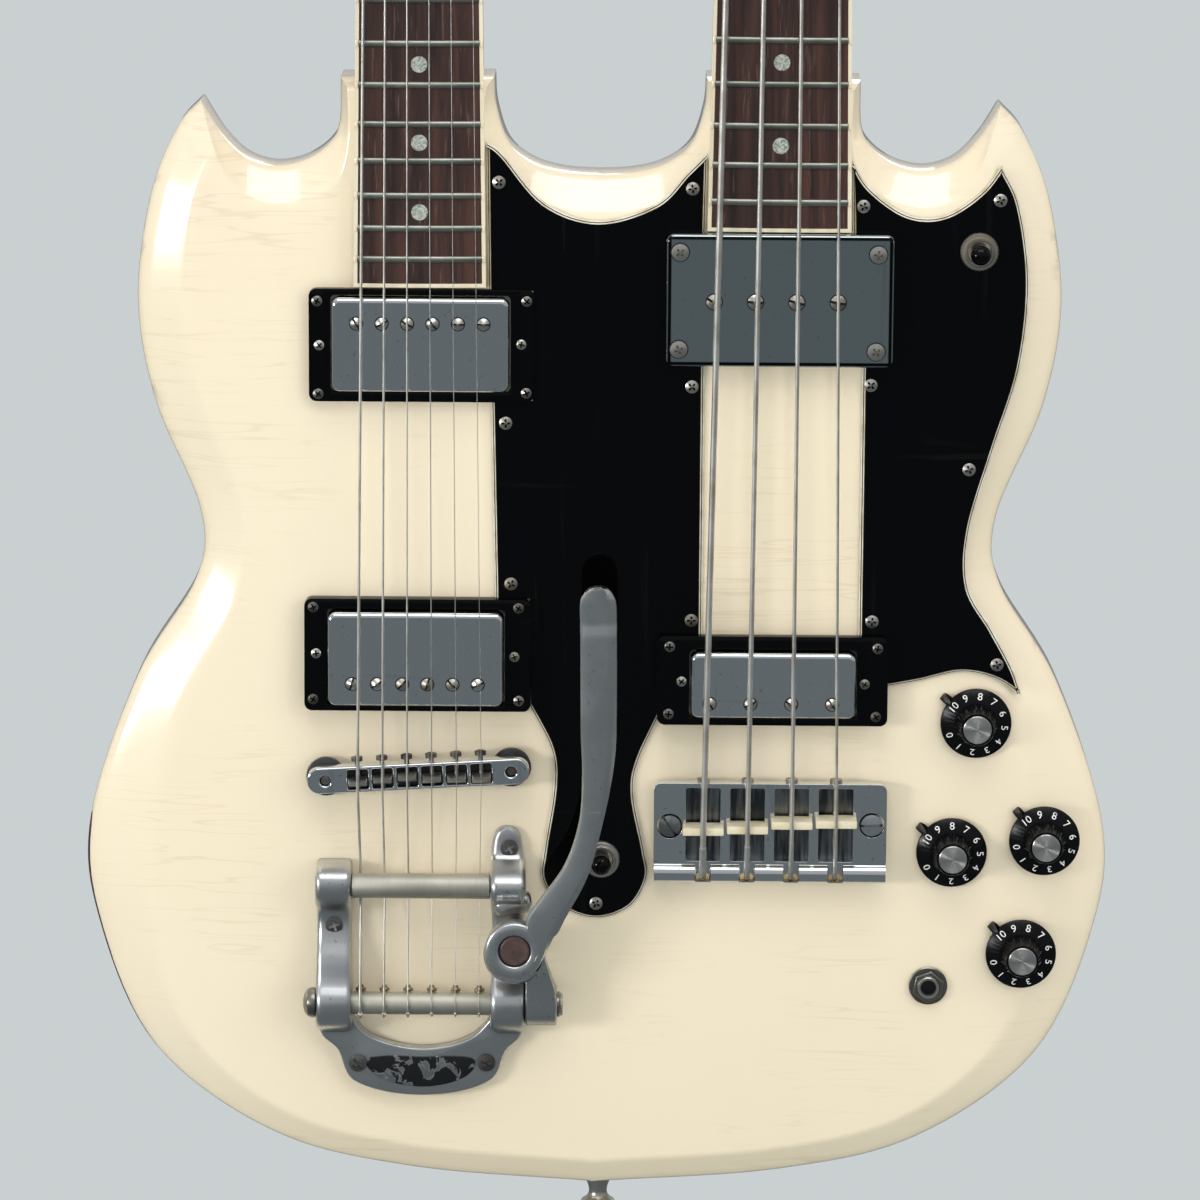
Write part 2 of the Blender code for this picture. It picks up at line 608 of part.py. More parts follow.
def tuners(neck, head):
    """A plate with its posts on each side of the head, and a turning button for each post."""
    below = -HEAD_THICKNESS - GAP
    for side, label in ((-1, "left"), (1, "right")):
        x = side * neck["post_x"]
        first, last = MM * neck["post_y"][0], MM * neck["post_y"][-1]
        half = TUNER_PLATE_WIDTH / 2
        plate_low = below - TUNER_PLATE_THICKNESS
        middle = below - TUNER_PLATE_THICKNESS / 2
        corners = ((x - half, first - TUNER_PLATE_END, plate_low), (x + half, last + TUNER_PLATE_END, below))
        plate = piece(f"{neck['name']}_tuners_{label}", box(*corners), head, (0.75, 0.74, 0.70), 0.3, 1.0)
        for index, y in enumerate(metres([neck["post_y"]])[0]):
            join(plate, cylinder(neck["post_radius"], middle, neck["post_above"], (x, y), segments=12))
            housing = half - TUNER_HOUSING_INSET
            join(plate, box((x - housing, y - TUNER_HOUSING_HALF, below - TUNER_HOUSING_DEPTH),
                            (x + housing, y + TUNER_HOUSING_HALF, middle)))
            shaft_h = (plate_low + below - TUNER_HOUSING_DEPTH) / 2
            mouth = abs(x) + housing
            outward = Matrix.Rotation(side * math.pi / 2, 4, "Y")
            seat = frame(f"{neck['name']}_tuner_{label}_{index + 1}_seat", head,
                         Matrix.Translation((side * mouth, y, shaft_h)) @ outward)
            hole = TUNER_SHAFT_RADIUS + GAP
            cut(plate, cylinder(hole, -TUNER_SHAFT_DEPTH, TUNER_SHAFT_DEPTH, segments=8), seat)
            reach = BUTTON_PROFILE[0][1] * MM + BUTTON_SEAT
            button = piece(f"{neck['name']}_tuner_button_{label}_{index + 1}",
                           cylinder(TUNER_SHAFT_RADIUS, GAP - TUNER_SHAFT_DEPTH, reach, segments=8),
                           seat, (0.85, 0.83, 0.76), 0.3)
            join(button, loft([oval(BUTTON_THICKNESS / 2, width, start)
                               for width, start in metres(BUTTON_PROFILE)]))


def oval(half_x, half_y, height, steps=10):
    turns = [2 * math.pi * step / steps for step in range(steps)]
    return [(half_x * math.cos(turn), half_y * math.sin(turn), height) for turn in turns]


def head_route(neck, index):
    """The line of a string over the nut and round its post, in the face frame."""
    radius = neck["strings"][index] * MM / 2
    count = len(neck["strings"])
    share = index / (count - 1) - 0.5
    to_neck = neck["frame"].matrix_local
    to_head = to_neck @ neck["head"].matrix_local
    nut_top = NUT_RISE + GAP + radius
    nut_front = to_neck @ Vector((share * neck["nut_spread"], nut_place(neck) + GAP, nut_top))
    nut_back = to_neck @ Vector((share * neck["nut_spread"], nut_place(neck) + 2 * GAP + NUT_LENGTH, nut_top))
    side = -1 if share < 0 else 1
    order = index if share < 0 else count - 1 - index
    post = Vector((side * neck["post_x"], MM * neck["post_y"][order]))
    turn = math.radians(45)
    winding = (neck["post_radius"] + radius + GAP) / math.cos(turn / 2)
    wound = []
    for step in range(6):
        angle = turn * (step - 0.5)
        height = neck["post_above"] - POST_TOP - radius - step * radius / 4
        wound.append(to_head @ Vector((
            post.x - side * winding * math.cos(angle), post.y + winding * math.sin(angle), height)))
    return [nut_front, nut_back, *wound]


for neck in (GUITAR, BASS):
    neck["frame"] = neck_frame(neck)
    neck["head"] = head_frame(neck, neck["frame"])
    fingerboard(neck, neck["frame"])
    neck_wood(neck, neck["frame"], neck["head"])
    nut_half = neck["nut_width"] / 2
    nut_start = nut_place(neck) + GAP
    piece(neck["name"] + "_nut",
          box((-nut_half, nut_start, -BOARD_THICKNESS), (nut_half, nut_start + NUT_LENGTH, NUT_RISE)),
          neck["frame"], (0.90, 0.87, 0.78), 0.4)
    piece(neck["name"] + "_truss_cover",
          extruded(metres(TRUSS_COVER_OUTLINE), GAP, GAP + TRUSS_COVER_THICKNESS),
          neck["head"], (0.02, 0.02, 0.02), 0.2)
    tuners(neck, neck["head"])


# Pickguard: one sheet round both necks, with the bass pickups' window left open

guard_outline = (
    flowing(GUARD_CROTCH_RUN, 2) + flowing(GUARD_HORN_RUN, 2) + flowing(GUARD_SIDE_RUN, 2)[1:]
    + flowing(GUARD_LOWER_RUN, 2)[1:]
)
coil_left, coil_right, coil_low, coil_top = metres([BASS_BRIDGE_COVER])[0]
coil_margin = PICKUP_ROUTE_MARGIN
guard_outline += [
    (coil_right + coil_margin, guard_outline[-1][1]), (coil_right + coil_margin, coil_top + coil_margin),
    (coil_left - coil_margin, coil_top + coil_margin), (coil_left - coil_margin, coil_low),
]
guard_outline += flowing(GUARD_TONGUE_RUN, 2) + metres(GUARD_NECK_SIDE)
guard = piece("pickguard",
              extruded(guard_outline, GAP, GUARD_THICKNESS, holes=(
                  rounded_box(GUARD_WINDOW, corner=1 * MM, steps=1),
                  rounded_box(BASS_NECK_COIL, PICKUP_ROUTE_MARGIN, steps=1))),
              face, (0.01, 0.01, 0.012), 0.1)
for neck in (GUITAR, BASS):
    cut(guard, board_footprint(neck, 2 * GAP, -ABOVE, ABOVE), neck["frame"])
for ring in (GUITAR_NECK_RING, GUITAR_BRIDGE_RING):
    cut(guard, extruded(rounded_box(ring, GAP), -ABOVE, ABOVE))
for place in TOGGLE_PLACES.values():
    cut(guard, cylinder(TOGGLE_BARREL_RADIUS + GAP, -ABOVE, ABOVE, metres([place])[0]))


# Pickups and their rings

def pickup(name, cover, low, high, colour, metallic):
    piece(name, extruded(rounded_box(cover, corner=COVER_CORNER), low, high), face, colour, 0.15, metallic)


def pickup_ring(name, sides, cover, low, high):
    opening = rounded_box(cover, GAP, corner=COVER_CORNER)
    piece(name, extruded(rounded_box(sides), low, high, holes=(opening,)), face, (0.01, 0.01, 0.012), 0.15)


CHROME = (0.62, 0.66, 0.70)
pickup("guitar_neck_pickup", GUITAR_NECK_COVER, -PICKUP_DEPTH, NECK_COVER_HEIGHT, CHROME, 1.0)
pickup("guitar_bridge_pickup", GUITAR_BRIDGE_COVER, -PICKUP_DEPTH, BRIDGE_COVER_HEIGHT, CHROME, 1.0)
pickup("bass_bridge_pickup", BASS_BRIDGE_COVER, -PICKUP_DEPTH, BRIDGE_COVER_HEIGHT, CHROME, 1.0)
pickup("bass_neck_pickup", BASS_NECK_COVER, GUARD_THICKNESS + GAP, BASS_NECK_COVER_HEIGHT, CHROME, 1.0)
join(bpy.data.objects["bass_neck_pickup"],
     extruded(rounded_box(BASS_NECK_COIL, corner=COVER_CORNER), -PICKUP_DEPTH, BASS_NECK_COVER_HEIGHT / 2))
pickup_ring("guitar_neck_ring", GUITAR_NECK_RING, GUITAR_NECK_COVER, GAP, NECK_RING_HEIGHT)
pickup_ring("guitar_bridge_ring", GUITAR_BRIDGE_RING, GUITAR_BRIDGE_COVER, GAP, BRIDGE_RING_HEIGHT)
pickup_ring("bass_bridge_ring", BASS_BRIDGE_RING, BASS_BRIDGE_COVER, GUARD_THICKNESS + GAP,
            BRIDGE_RING_HEIGHT)


# Controls: knobs, toggle switches and the output jack

def at(place, height=0.0):
    x, z = metres([place])[0]
    return Matrix.Translation((x, z, height))


skirt = KNOB_SKIRT_RADIUS
cap = KNOB_CAP_RADIUS
knob_profile = [
    (0, KNOB_HEIGHT), (cap, KNOB_HEIGHT), (cap + 0.6 * MM, KNOB_HEIGHT - 1 * MM), (cap + 3.4 * MM, 5 * MM),
    (skirt - 2.6 * MM, 3.6 * MM), (skirt, 2.4 * MM), (skirt, 1.2 * MM),
    (SHAFT_RADIUS, 1.2 * MM), (SHAFT_RADIUS, -SHAFT_DEPTH), (0, -SHAFT_DEPTH),
]
for index, place in enumerate(KNOB_PLACES):
    axle = frame(f"knob_{index + 1}_axis", face, at(place))
    piece(f"knob_{index + 1}", turned(knob_profile, 20), axle, (0.02, 0.02, 0.02), 0.2)

for label, place in TOGGLE_PLACES.items():
    seat = frame(f"toggle_{label}_seat", face, at(place))
    top = GUARD_THICKNESS + GAP + TOGGLE_NUT_HEIGHT
    piece(f"toggle_{label}_bushing", turned([
        (TOGGLE_BORE_RADIUS, top), (TOGGLE_NUT_RADIUS - 1 * MM, top),
        (TOGGLE_NUT_RADIUS, top - 1 * MM), (TOGGLE_NUT_RADIUS, GUARD_THICKNESS + GAP),
        (TOGGLE_BARREL_RADIUS, GUARD_THICKNESS + GAP), (TOGGLE_BARREL_RADIUS, -TOGGLE_BARREL_DEPTH),
        (TOGGLE_BORE_RADIUS, -TOGGLE_BARREL_DEPTH),
    ]), seat, (0.70, 0.68, 0.62), 0.3, 1.0)
    pivot = frame(f"toggle_{label}_pivot", face, at(place, -TOGGLE_PIVOT_DEPTH))
    ball = TOGGLE_BORE_RADIUS - GAP
    reach = TOGGLE_TIP_HEIGHT + TOGGLE_PIVOT_DEPTH
    tip = TOGGLE_TIP_RADIUS
    rod = TOGGLE_ROD_RADIUS
    profile = [(tip * math.sin(a), reach - tip * (1 - math.cos(a))) for a in map(math.radians, (0, 45, 90))]
    profile += [(tip, reach - TOGGLE_TIP_LENGTH), (rod, reach - TOGGLE_TIP_LENGTH - tip / 2)]
    profile += [(ball * math.sin(a), ball * math.cos(a)) for a in map(math.radians, (30, 60, 90, 120, 150))]
    profile += [(0, -ball)]
    piece(f"toggle_{label}_lever", turned(profile, 12), pivot, (0.02, 0.02, 0.02), 0.15)

jack_seat = frame("jack_seat", face, at(JACK_PLACE))
piece("output_jack", turned([
    (JACK_SOCKET_RADIUS, JACK_HEIGHT), (JACK_BARREL_RADIUS, JACK_HEIGHT),
    (JACK_BARREL_RADIUS, JACK_NUT_HEIGHT), (JACK_NUT_RADIUS, JACK_NUT_HEIGHT),
    (JACK_NUT_RADIUS, JACK_WASHER_HEIGHT),
    (JACK_WASHER_RADIUS, JACK_WASHER_HEIGHT), (JACK_WASHER_RADIUS, GAP),
    (JACK_BARREL_RADIUS, GAP), (JACK_BARREL_RADIUS, -JACK_DEPTH), (JACK_SOCKET_RADIUS, -JACK_DEPTH),
]), jack_seat, (0.70, 0.68, 0.62), 0.3, 1.0)


# Guitar bridge: bar, posts, thumbwheels and saddles in one piece

first, last = (Vector(point) for point in metres(BRIDGE_POSTS))
bridge_slant = math.atan2((last - first).y, (last - first).x)
bridge_middle = (first + last) / 2
bridge_frame = frame("guitar_bridge_frame", face,
                     Matrix.Translation((*bridge_middle, 0)) @ Matrix.Rotation(bridge_slant, 4, "Z"))
post_reach = (last - first).length / 2
bar_half = (post_reach + BRIDGE_END_OVERHANG) / MM
width_half = BRIDGE_BAR_WIDTH / 2 / MM
guitar_bridge = piece("guitar_bridge", extruded(
    rounded_box((-bar_half, bar_half, -width_half, width_half), corner=BRIDGE_BAR_WIDTH / 2 - GAP),
    BRIDGE_BAR_LOW, BRIDGE_BAR_HIGH), bridge_frame, (0.62, 0.66, 0.70), 0.2, 1.0)
post_top = BRIDGE_BAR_HIGH - 1 * MM
for post_x in (-post_reach, post_reach):
    join(guitar_bridge, cylinder(BRIDGE_POST_RADIUS, -BRIDGE_POST_DEPTH, post_top, (post_x, 0)))
    join(guitar_bridge, cylinder(THUMBWHEEL_RADIUS, THUMBWHEEL_LOW, THUMBWHEEL_HIGH, (post_x, 0)))
GUITAR["saddle_centre"] = STRING_PINS_X
BASS["saddle_centre"] = (BASS_BRIDGE_PLATE[0] + BASS_BRIDGE_PLATE[1]) / 2 * MM - 0.3 * MM


# Bass bridge: the plate, its windows, rolled lip, saddles and studs in one piece

bass_bridge = piece("bass_bridge",
                    extruded(rounded_box(BASS_BRIDGE_PLATE), BASS_BRIDGE_LOW, BASS_BRIDGE_HIGH),
                    face, CHROME, 0.15, 1.0)
plate_left, plate_right = (MM * side for side in BASS_BRIDGE_PLATE[:2])
join(bass_bridge, cylinder(BASS_BRIDGE_LIP_RADIUS, plate_left, plate_right,
                           (BASS_BRIDGE_LIP_Z, BASS_BRIDGE_LIP_H), along="X"))
for x, z in metres(BASS_STUDS):
    join(bass_bridge, cylinder(BRIDGE_POST_RADIUS, -BRIDGE_POST_DEPTH, BASS_BRIDGE_HIGH, (x, z)))


# Strings

STRING_NAMES = {"guitar": "eadgbe", "bass": "eadg"}
BASS_NOTCH_H = BASS_BRIDGE_LIP_H + 1 * MM


def string_share(neck, index):
    return index / (len(neck["strings"]) - 1) - 0.5


def saddle_middle(neck, index):
    """Where a string crosses the middle of its saddle, in the face frame."""
    x = neck["saddle_centre"] + string_share(neck, index) * neck["saddle_spread"]
    return Vector((x, MM * neck["saddle_z"][index], neck["saddle_h"]))


def guitar_tail(index, radius):
    """From under the string bar, round behind it, over it, and down under the roller bar."""
    x = STRING_PINS_X + string_share(GUITAR, index) * STRING_PIN_SPREAD
    turn = math.radians(31)
    around_bar = (STRING_BAR_RADIUS + GAP + radius) / math.cos(turn / 2)
    around_roller = ROLLER_RADIUS + GAP + radius
    tail = []
    for step in range(7):
        angle = math.radians(270) - turn * step
        tail.append((x, STRING_BAR_Z + around_bar * math.cos(angle), BARS_H + around_bar * math.sin(angle)))
    for angle in (math.radians(turn) for turn in (-12, 0, 14)):
        tail.append((x, ROLLER_Z + around_roller * math.sin(angle), BARS_H - around_roller * math.cos(angle)))
    return tail


def bass_tail(index, radius):
    """From the ball end's notch in the rear lip."""
    return [(saddle_middle(BASS, index).x, BASS_BRIDGE_LIP_Z - 1 * MM, BASS_NOTCH_H + GAP + radius)]


bridge_blocks = []
string_sets = ((GUITAR, guitar_tail, SADDLE_LENGTH), (BASS, bass_tail, BASS_SADDLE_SIZE[1]))
for neck, tail_route, length in string_sets:
    for index, gauge in enumerate(neck["strings"]):
        radius = gauge * MM / 2
        middle = saddle_middle(neck, index)
        seat = neck["saddle_h"] - radius - GAP
        rear_edge = middle - Vector((0, length / 2 + GAP, 0))
        points = [*tail_route(index, radius), rear_edge, *head_route(neck, index)]
        piece(f"{neck['name']}_string_{index + 1}_{STRING_NAMES[neck['name']][index]}",
              tube(points, radius), face, (0.70, 0.68, 0.62), 0.35, 1.0)
        if neck is GUITAR:
            local = bridge_frame.matrix_local.inverted() @ middle
            bridge_blocks.append((guitar_bridge, box(
                (local.x - SADDLE_WIDTH / 2, local.y - length / 2, BRIDGE_BAR_HIGH - 2 * MM),
                (local.x + SADDLE_WIDTH / 2, local.y + length / 2, seat))))
            continue
        rear, front = metres([BASS_WINDOW_ENDS])[0]
        half = BASS_WINDOW_WIDTH / 2
        notch = radius + 2.4 * MM
        cut(bass_bridge, box((middle.x - half, rear, -ABOVE), (middle.x + half, front, ABOVE)))
        cut(bass_bridge, box((middle.x - notch, rear - ABOVE, BASS_NOTCH_H), (middle.x + notch, rear, ABOVE)))
        half = BASS_SADDLE_SIZE[0] / 2
        bridge_blocks.append((bass_bridge, box(
            (middle.x - half, middle.y - length / 2, BASS_BRIDGE_HIGH - 3 * MM),
            (middle.x + half, middle.y + length / 2, seat))))
for bridge, block in bridge_blocks:
    join(bridge, block)


# Vibrato

vibrato = piece("vibrato_frame", extruded(
    flowing(HORSESHOE_OUTER, 2) + flowing(HORSESHOE_INNER, 2), GAP, HORSESHOE_HEIGHT),
    face, (0.50, 0.53, 0.55), 0.3, 1.0)
for sides, profile in ((LEFT_LEG, LEFT_LEG_PROFILE), (RIGHT_LEG, RIGHT_LEG_PROFILE)):
    join(vibrato, extruded(metres(profile), MM * sides[0], MM * sides[1], along="X"))
bar_left, bar_right = MM * LEFT_LEG[1], MM * RIGHT_LEG[0]
cut(vibrato, cylinder(JOURNAL_RADIUS + GAP, bar_left - JOURNAL_LENGTH - GAP, bar_right + JOURNAL_LENGTH + GAP,
                      (ROLLER_Z, BARS_H), along="X"))
cut(vibrato, cylinder(STRING_BAR_RADIUS + GAP, MM * LEFT_LEG[0] - ABOVE, MM * RIGHT_LEG[1] + ABOVE,
                      (STRING_BAR_Z, BARS_H), along="X"))

roller_axis = frame("roller_axis", face, Matrix.Translation((0, ROLLER_Z, BARS_H)))
roller = piece("vibrato_roller_bar", cylinder(ROLLER_RADIUS, bar_left + GAP, bar_right - GAP, along="X"),
               roller_axis, (0.55, 0.55, 0.50), 0.4, 1.0)
join(roller, cylinder(JOURNAL_RADIUS, bar_left - JOURNAL_LENGTH, bar_right + JOURNAL_LENGTH, along="X"))

bar_axis = frame("string_bar_axis", face, Matrix.Translation((0, STRING_BAR_Z, BARS_H)))
bracket_left = MM * RIGHT_LEG[1] + GAP
cap_right = MM * LEFT_LEG[0] - GAP
string_bar = piece("vibrato_string_bar",
                   cylinder(STRING_BAR_RADIUS, cap_right - BAR_CAP_LENGTH / 2,
                            bracket_left + BRACKET_WIDTH + BAR_END_LENGTH, along="X"),
                   bar_axis, (0.55, 0.55, 0.50), 0.4, 1.0)
join(string_bar, cylinder(BAR_CAP_RADIUS, cap_right - BAR_CAP_LENGTH, cap_right, along="X"))
bracket_outline = [(z - STRING_BAR_Z, h - BARS_H) for z, h in metres(BRACKET_PROFILE)]
join(string_bar, extruded(bracket_outline, bracket_left, bracket_left + BRACKET_WIDTH, along="X"))
eye_x, eye_z = metres([ARM_EYE])[0]
eye_y = eye_z - STRING_BAR_Z
shelf_low, shelf_high = (MM * height - BARS_H for height in BRACKET_SHELF)
join(string_bar, cylinder(ARM_EYE_RADIUS, shelf_low, shelf_high, (eye_x, eye_y)))
join(string_bar, cylinder(ARM_BOLT_RADIUS, (shelf_low + shelf_high) / 2, ARM_HIGH - BARS_H, (eye_x, eye_y)))
for index in range(len(GUITAR["strings"])):
    pin_x = STRING_PINS_X + string_share(GUITAR, index) * STRING_PIN_SPREAD
    pin = frame(f"string_pin_{index + 1}", bar_axis,
                Matrix.Translation((pin_x, 0, 0)) @ Matrix.Rotation(-STRING_PIN_DROP - math.pi / 2, 4, "X"))
    join(string_bar, cylinder(STRING_PIN_RADIUS, STRING_BAR_RADIUS / 2, STRING_PIN_REACH, segments=12), pin)

arm_axis = frame("arm_axis", bar_axis, Matrix.Translation((eye_x, eye_y, -BARS_H)))
centre_line = flowing(ARM_CENTRE_LINE, 2)
left_side, right_side = [], []
neighbours = zip([centre_line[0], *centre_line], centre_line, [*centre_line[1:], centre_line[-1]])
for before, here, after in neighbours:
    along = (Vector(after[:2]) - Vector(before[:2])).normalized()
    across = Vector((along.y, -along.x)) * here[2]
    middle = Vector(here[:2]) - Vector((eye_x, eye_z))
    left_side.append(middle - across)
    right_side.append(middle + across)
blade = extruded(left_side + right_side[::-1], ARM_HIGH - ARM_THICKNESS, ARM_HIGH)
blade_length = max(vertex.co.y for vertex in blade.vertices)
for vertex in blade.vertices:
    vertex.co.z += ARM_RISE * max(vertex.co.y, 0) / blade_length
arm = piece("vibrato_arm", blade, arm_axis, (0.50, 0.53, 0.55), 0.3, 1.0)
join(arm, cylinder(ARM_EYE_RADIUS, MM * BRACKET_SHELF[1] + GAP, ARM_HIGH - ARM_EYE_SETBACK))
cut(arm, cylinder(ARM_BOLT_RADIUS + GAP, 0, ARM_HIGH + ABOVE))

spring_low = MM * RIGHT_WEB_H + GAP + SPRING_WIRE_RADIUS
spring_high = MM * BRACKET_SHELF[0] - GAP - SPRING_WIRE_RADIUS
coil = []
coil_steps = int(SPRING_TURNS * SPRING_STEPS)
for step in range(coil_steps + 1):
    angle = 2 * math.pi * step / SPRING_STEPS
    coil.append((eye_x + SPRING_RADIUS * math.cos(angle), eye_z + SPRING_RADIUS * math.sin(angle),
                 spring_low + (spring_high - spring_low) * step / coil_steps))
piece("vibrato_spring", tube(coil, SPRING_WIRE_RADIUS), face, (0.40, 0.40, 0.38), 0.4, 1.0)


# Strap buttons: one on the bottom edge, one on the back at the heel

rim = STRAP_BUTTON_RADIUS
strap_profile = [
    (0, STRAP_BUTTON_HEIGHT), (rim - 1 * MM, STRAP_BUTTON_HEIGHT), (rim, STRAP_BUTTON_HEIGHT - 1.5 * MM),
    (STRAP_BUTTON_WAIST, STRAP_BUTTON_HEIGHT - 4 * MM), (STRAP_BUTTON_WAIST, 3 * MM),
    (rim - 1.5 * MM, GAP), (0, GAP),
]
bottom = MM * BODY_OUTER_EDGE[0][1]
strap_seats = (
    ("bottom", (STRAP_BUTTON_BOTTOM_X, bottom, -BODY_THICKNESS / 2), math.pi / 2),
    ("heel", (0, STRAP_BUTTON_HEEL_Z, -BODY_THICKNESS), math.pi),
)
for label, place, turn in strap_seats:
    seat = frame(f"strap_button_{label}_seat", face,
                 Matrix.Translation(place) @ Matrix.Rotation(turn, 4, "X"))
    piece(f"strap_button_{label}", turned(strap_profile), seat, (0.55, 0.52, 0.48), 0.3, 1.0)
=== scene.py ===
import math
import random

import bmesh
import bpy
from mathutils import Matrix, Vector


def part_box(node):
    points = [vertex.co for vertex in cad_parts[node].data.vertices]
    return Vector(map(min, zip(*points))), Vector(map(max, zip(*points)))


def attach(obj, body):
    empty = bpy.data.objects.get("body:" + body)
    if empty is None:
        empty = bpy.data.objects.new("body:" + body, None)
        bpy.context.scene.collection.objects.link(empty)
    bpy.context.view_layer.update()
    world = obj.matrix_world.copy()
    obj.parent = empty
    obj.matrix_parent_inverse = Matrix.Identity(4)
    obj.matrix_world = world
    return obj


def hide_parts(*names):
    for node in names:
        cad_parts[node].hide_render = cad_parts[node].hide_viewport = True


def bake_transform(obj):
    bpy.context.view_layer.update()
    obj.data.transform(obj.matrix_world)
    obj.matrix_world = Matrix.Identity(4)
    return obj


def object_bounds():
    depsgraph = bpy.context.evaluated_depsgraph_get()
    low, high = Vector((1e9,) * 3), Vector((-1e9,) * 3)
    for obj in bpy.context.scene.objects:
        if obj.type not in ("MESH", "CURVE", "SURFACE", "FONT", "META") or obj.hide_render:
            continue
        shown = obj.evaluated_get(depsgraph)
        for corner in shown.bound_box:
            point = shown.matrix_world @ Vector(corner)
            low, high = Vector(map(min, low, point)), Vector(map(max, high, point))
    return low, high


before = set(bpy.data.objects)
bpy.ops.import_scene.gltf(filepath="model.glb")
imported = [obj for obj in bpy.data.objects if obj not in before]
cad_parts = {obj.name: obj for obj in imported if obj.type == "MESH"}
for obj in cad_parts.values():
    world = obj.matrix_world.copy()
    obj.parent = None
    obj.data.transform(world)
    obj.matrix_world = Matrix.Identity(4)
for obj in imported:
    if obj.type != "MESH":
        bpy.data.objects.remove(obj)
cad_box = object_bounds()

MM = 0.001


# Studio: the camera stands 2.4 m in front of the body and looks 12 degrees down on it, as in
# the photograph. Soft lamps and a pale sky light a pale grey floor.
CAMERA_TARGET = Vector((1.05, -38, 16.7)) * MM
CAMERA_DISTANCE = 2400 * MM
CAMERA_LENS = 181.08
CAMERA_UP = math.radians(12)
CAMERA_ASIDE = math.radians(0.4)
CAMERA_ROLL = math.radians(0.35)
SOFTBOXES = (
    ("left_softbox", (-1.85, -1.45, 0.22), (0.7, 0.34), 22),
    ("right_softbox", (2.1, -1.7, 0.9), (1.6, 2.2), 26),
    ("top_softbox", (0.1, -1.5, 2.6), (2.6, 1.6), 38),
    ("back_softbox", (0.6, 2.2, 1.6), (1.4, 1.4), 20),
)
SOFTBOX_AIM = (0, 0, 0.05)
SKY_LOW = (0.50, 0.53, 0.56)
SKY_HIGH = (0.86, 0.88, 0.90)
SKY_STRENGTH = 0.62
FLOOR_SIZE = 20.0
FLOOR_DROP = 0.5 * MM
FLOOR_COLOUR = (0.59, 0.63, 0.635)
FLOOR_REFLECTED = (0.16, 0.18, 0.19)


def add(tree, kind, settings=None, **inputs):
    """A shader node; each input is a value or another node's output socket."""
    new = tree.nodes.new("ShaderNode" + kind)
    for name, value in (settings or {}).items():
        setattr(new, name, value)
    for name, value in inputs.items():
        socket = new.inputs[name.replace("_", " ")]
        if isinstance(value, bpy.types.NodeSocket):
            tree.links.new(value, socket)
        else:
            socket.default_value = value
    return new


def material(name, colour, roughness, metallic=0.0, coat=0.0, ior=1.5):
    """A material with one plain shader, ready for its own pattern nodes."""
    look = bpy.data.materials.new(name)
    look.use_nodes = True
    shader = look.node_tree.nodes["Principled BSDF"]
    for label, value in (("Base Color", (*colour, 1)), ("Roughness", roughness), ("Metallic", metallic),
                         ("Coat Weight", coat), ("Coat Roughness", 0.04), ("IOR", ior)):
        shader.inputs[label].default_value = value
    return look, look.node_tree, shader


def aimed(place, target, roll=0.0):
    """A lamp's or camera's place, looking at a target."""
    back = (Vector(place) - Vector(target)).normalized()
    turn = back.to_track_quat("Z", "Y").to_matrix().to_4x4()
    return Matrix.Translation(place) @ turn @ Matrix.Rotation(roll, 4, "Z")


def put(name, data, place=None):
    """A new object in the scene, at its place if it has one of its own."""
    thing = bpy.data.objects.new(name, data)
    bpy.context.scene.collection.objects.link(thing)
    if place is not None:
        thing.matrix_world = place
    return thing


away = Vector((math.sin(CAMERA_ASIDE) * math.cos(CAMERA_UP),
               -math.cos(CAMERA_ASIDE) * math.cos(CAMERA_UP), math.sin(CAMERA_UP)))
camera = bpy.data.cameras.new("camera")
camera.lens = CAMERA_LENS
bpy.context.scene.camera = put(
    "camera", camera, aimed(CAMERA_TARGET + away * CAMERA_DISTANCE, CAMERA_TARGET, CAMERA_ROLL))
bpy.context.scene.view_settings.view_transform = "Standard"

for name, place, size, power in SOFTBOXES:
    lamp = bpy.data.lights.new(name, "AREA")
    lamp.shape = "RECTANGLE"
    lamp.size, lamp.size_y = size
    lamp.energy = power
    put(name, lamp, aimed(place, SOFTBOX_AIM)).visible_glossy = name != "right_softbox"

sky = bpy.data.worlds.new("sky")
sky.use_nodes = True
tree = sky.node_tree
tree.nodes.clear()
direction = add(tree, "SeparateXYZ", Vector=add(tree, "TexCoord").outputs["Generated"])
height = add(tree, "MapRange", Value=direction.outputs["Z"], From_Min=-0.3, From_Max=0.7)
shade = add(tree, "ValToRGB", Fac=height.outputs["Result"])
shade.color_ramp.elements[0].color = (*SKY_LOW, 1)
shade.color_ramp.elements[1].color = (*SKY_HIGH, 1)
light = add(tree, "Background", Color=shade.outputs["Color"], Strength=SKY_STRENGTH)
tree.links.new(light.outputs[0], add(tree, "OutputWorld").inputs["Surface"])
bpy.context.scene.world = sky

floor_look, tree, surface = material("floor_paper", FLOOR_COLOUR, 0.9)
rays = add(tree, "LightPath")
for ray, colour in (("Is Glossy Ray", FLOOR_REFLECTED), ("Is Camera Ray", FLOOR_COLOUR)):
    mix = add(tree, "MixShader", Fac=rays.outputs[ray])
    tree.links.new(surface.outputs[0], mix.inputs[1])
    tree.links.new(add(tree, "Emission", Color=(*colour, 1)).outputs[0], mix.inputs[2])
    surface = mix
tree.links.new(surface.outputs[0], tree.nodes["Material Output"].inputs["Surface"])
floor_mesh = bmesh.new()
bmesh.ops.create_grid(floor_mesh, x_segments=1, y_segments=1, size=FLOOR_SIZE / 2,
                      matrix=Matrix.Translation((0, 0, cad_box[0][2] - FLOOR_DROP)))
floor_data = bpy.data.meshes.new("floor")
floor_mesh.to_mesh(floor_data)
floor_mesh.free()
floor_data.materials.append(floor_look)
put("floor", floor_data)


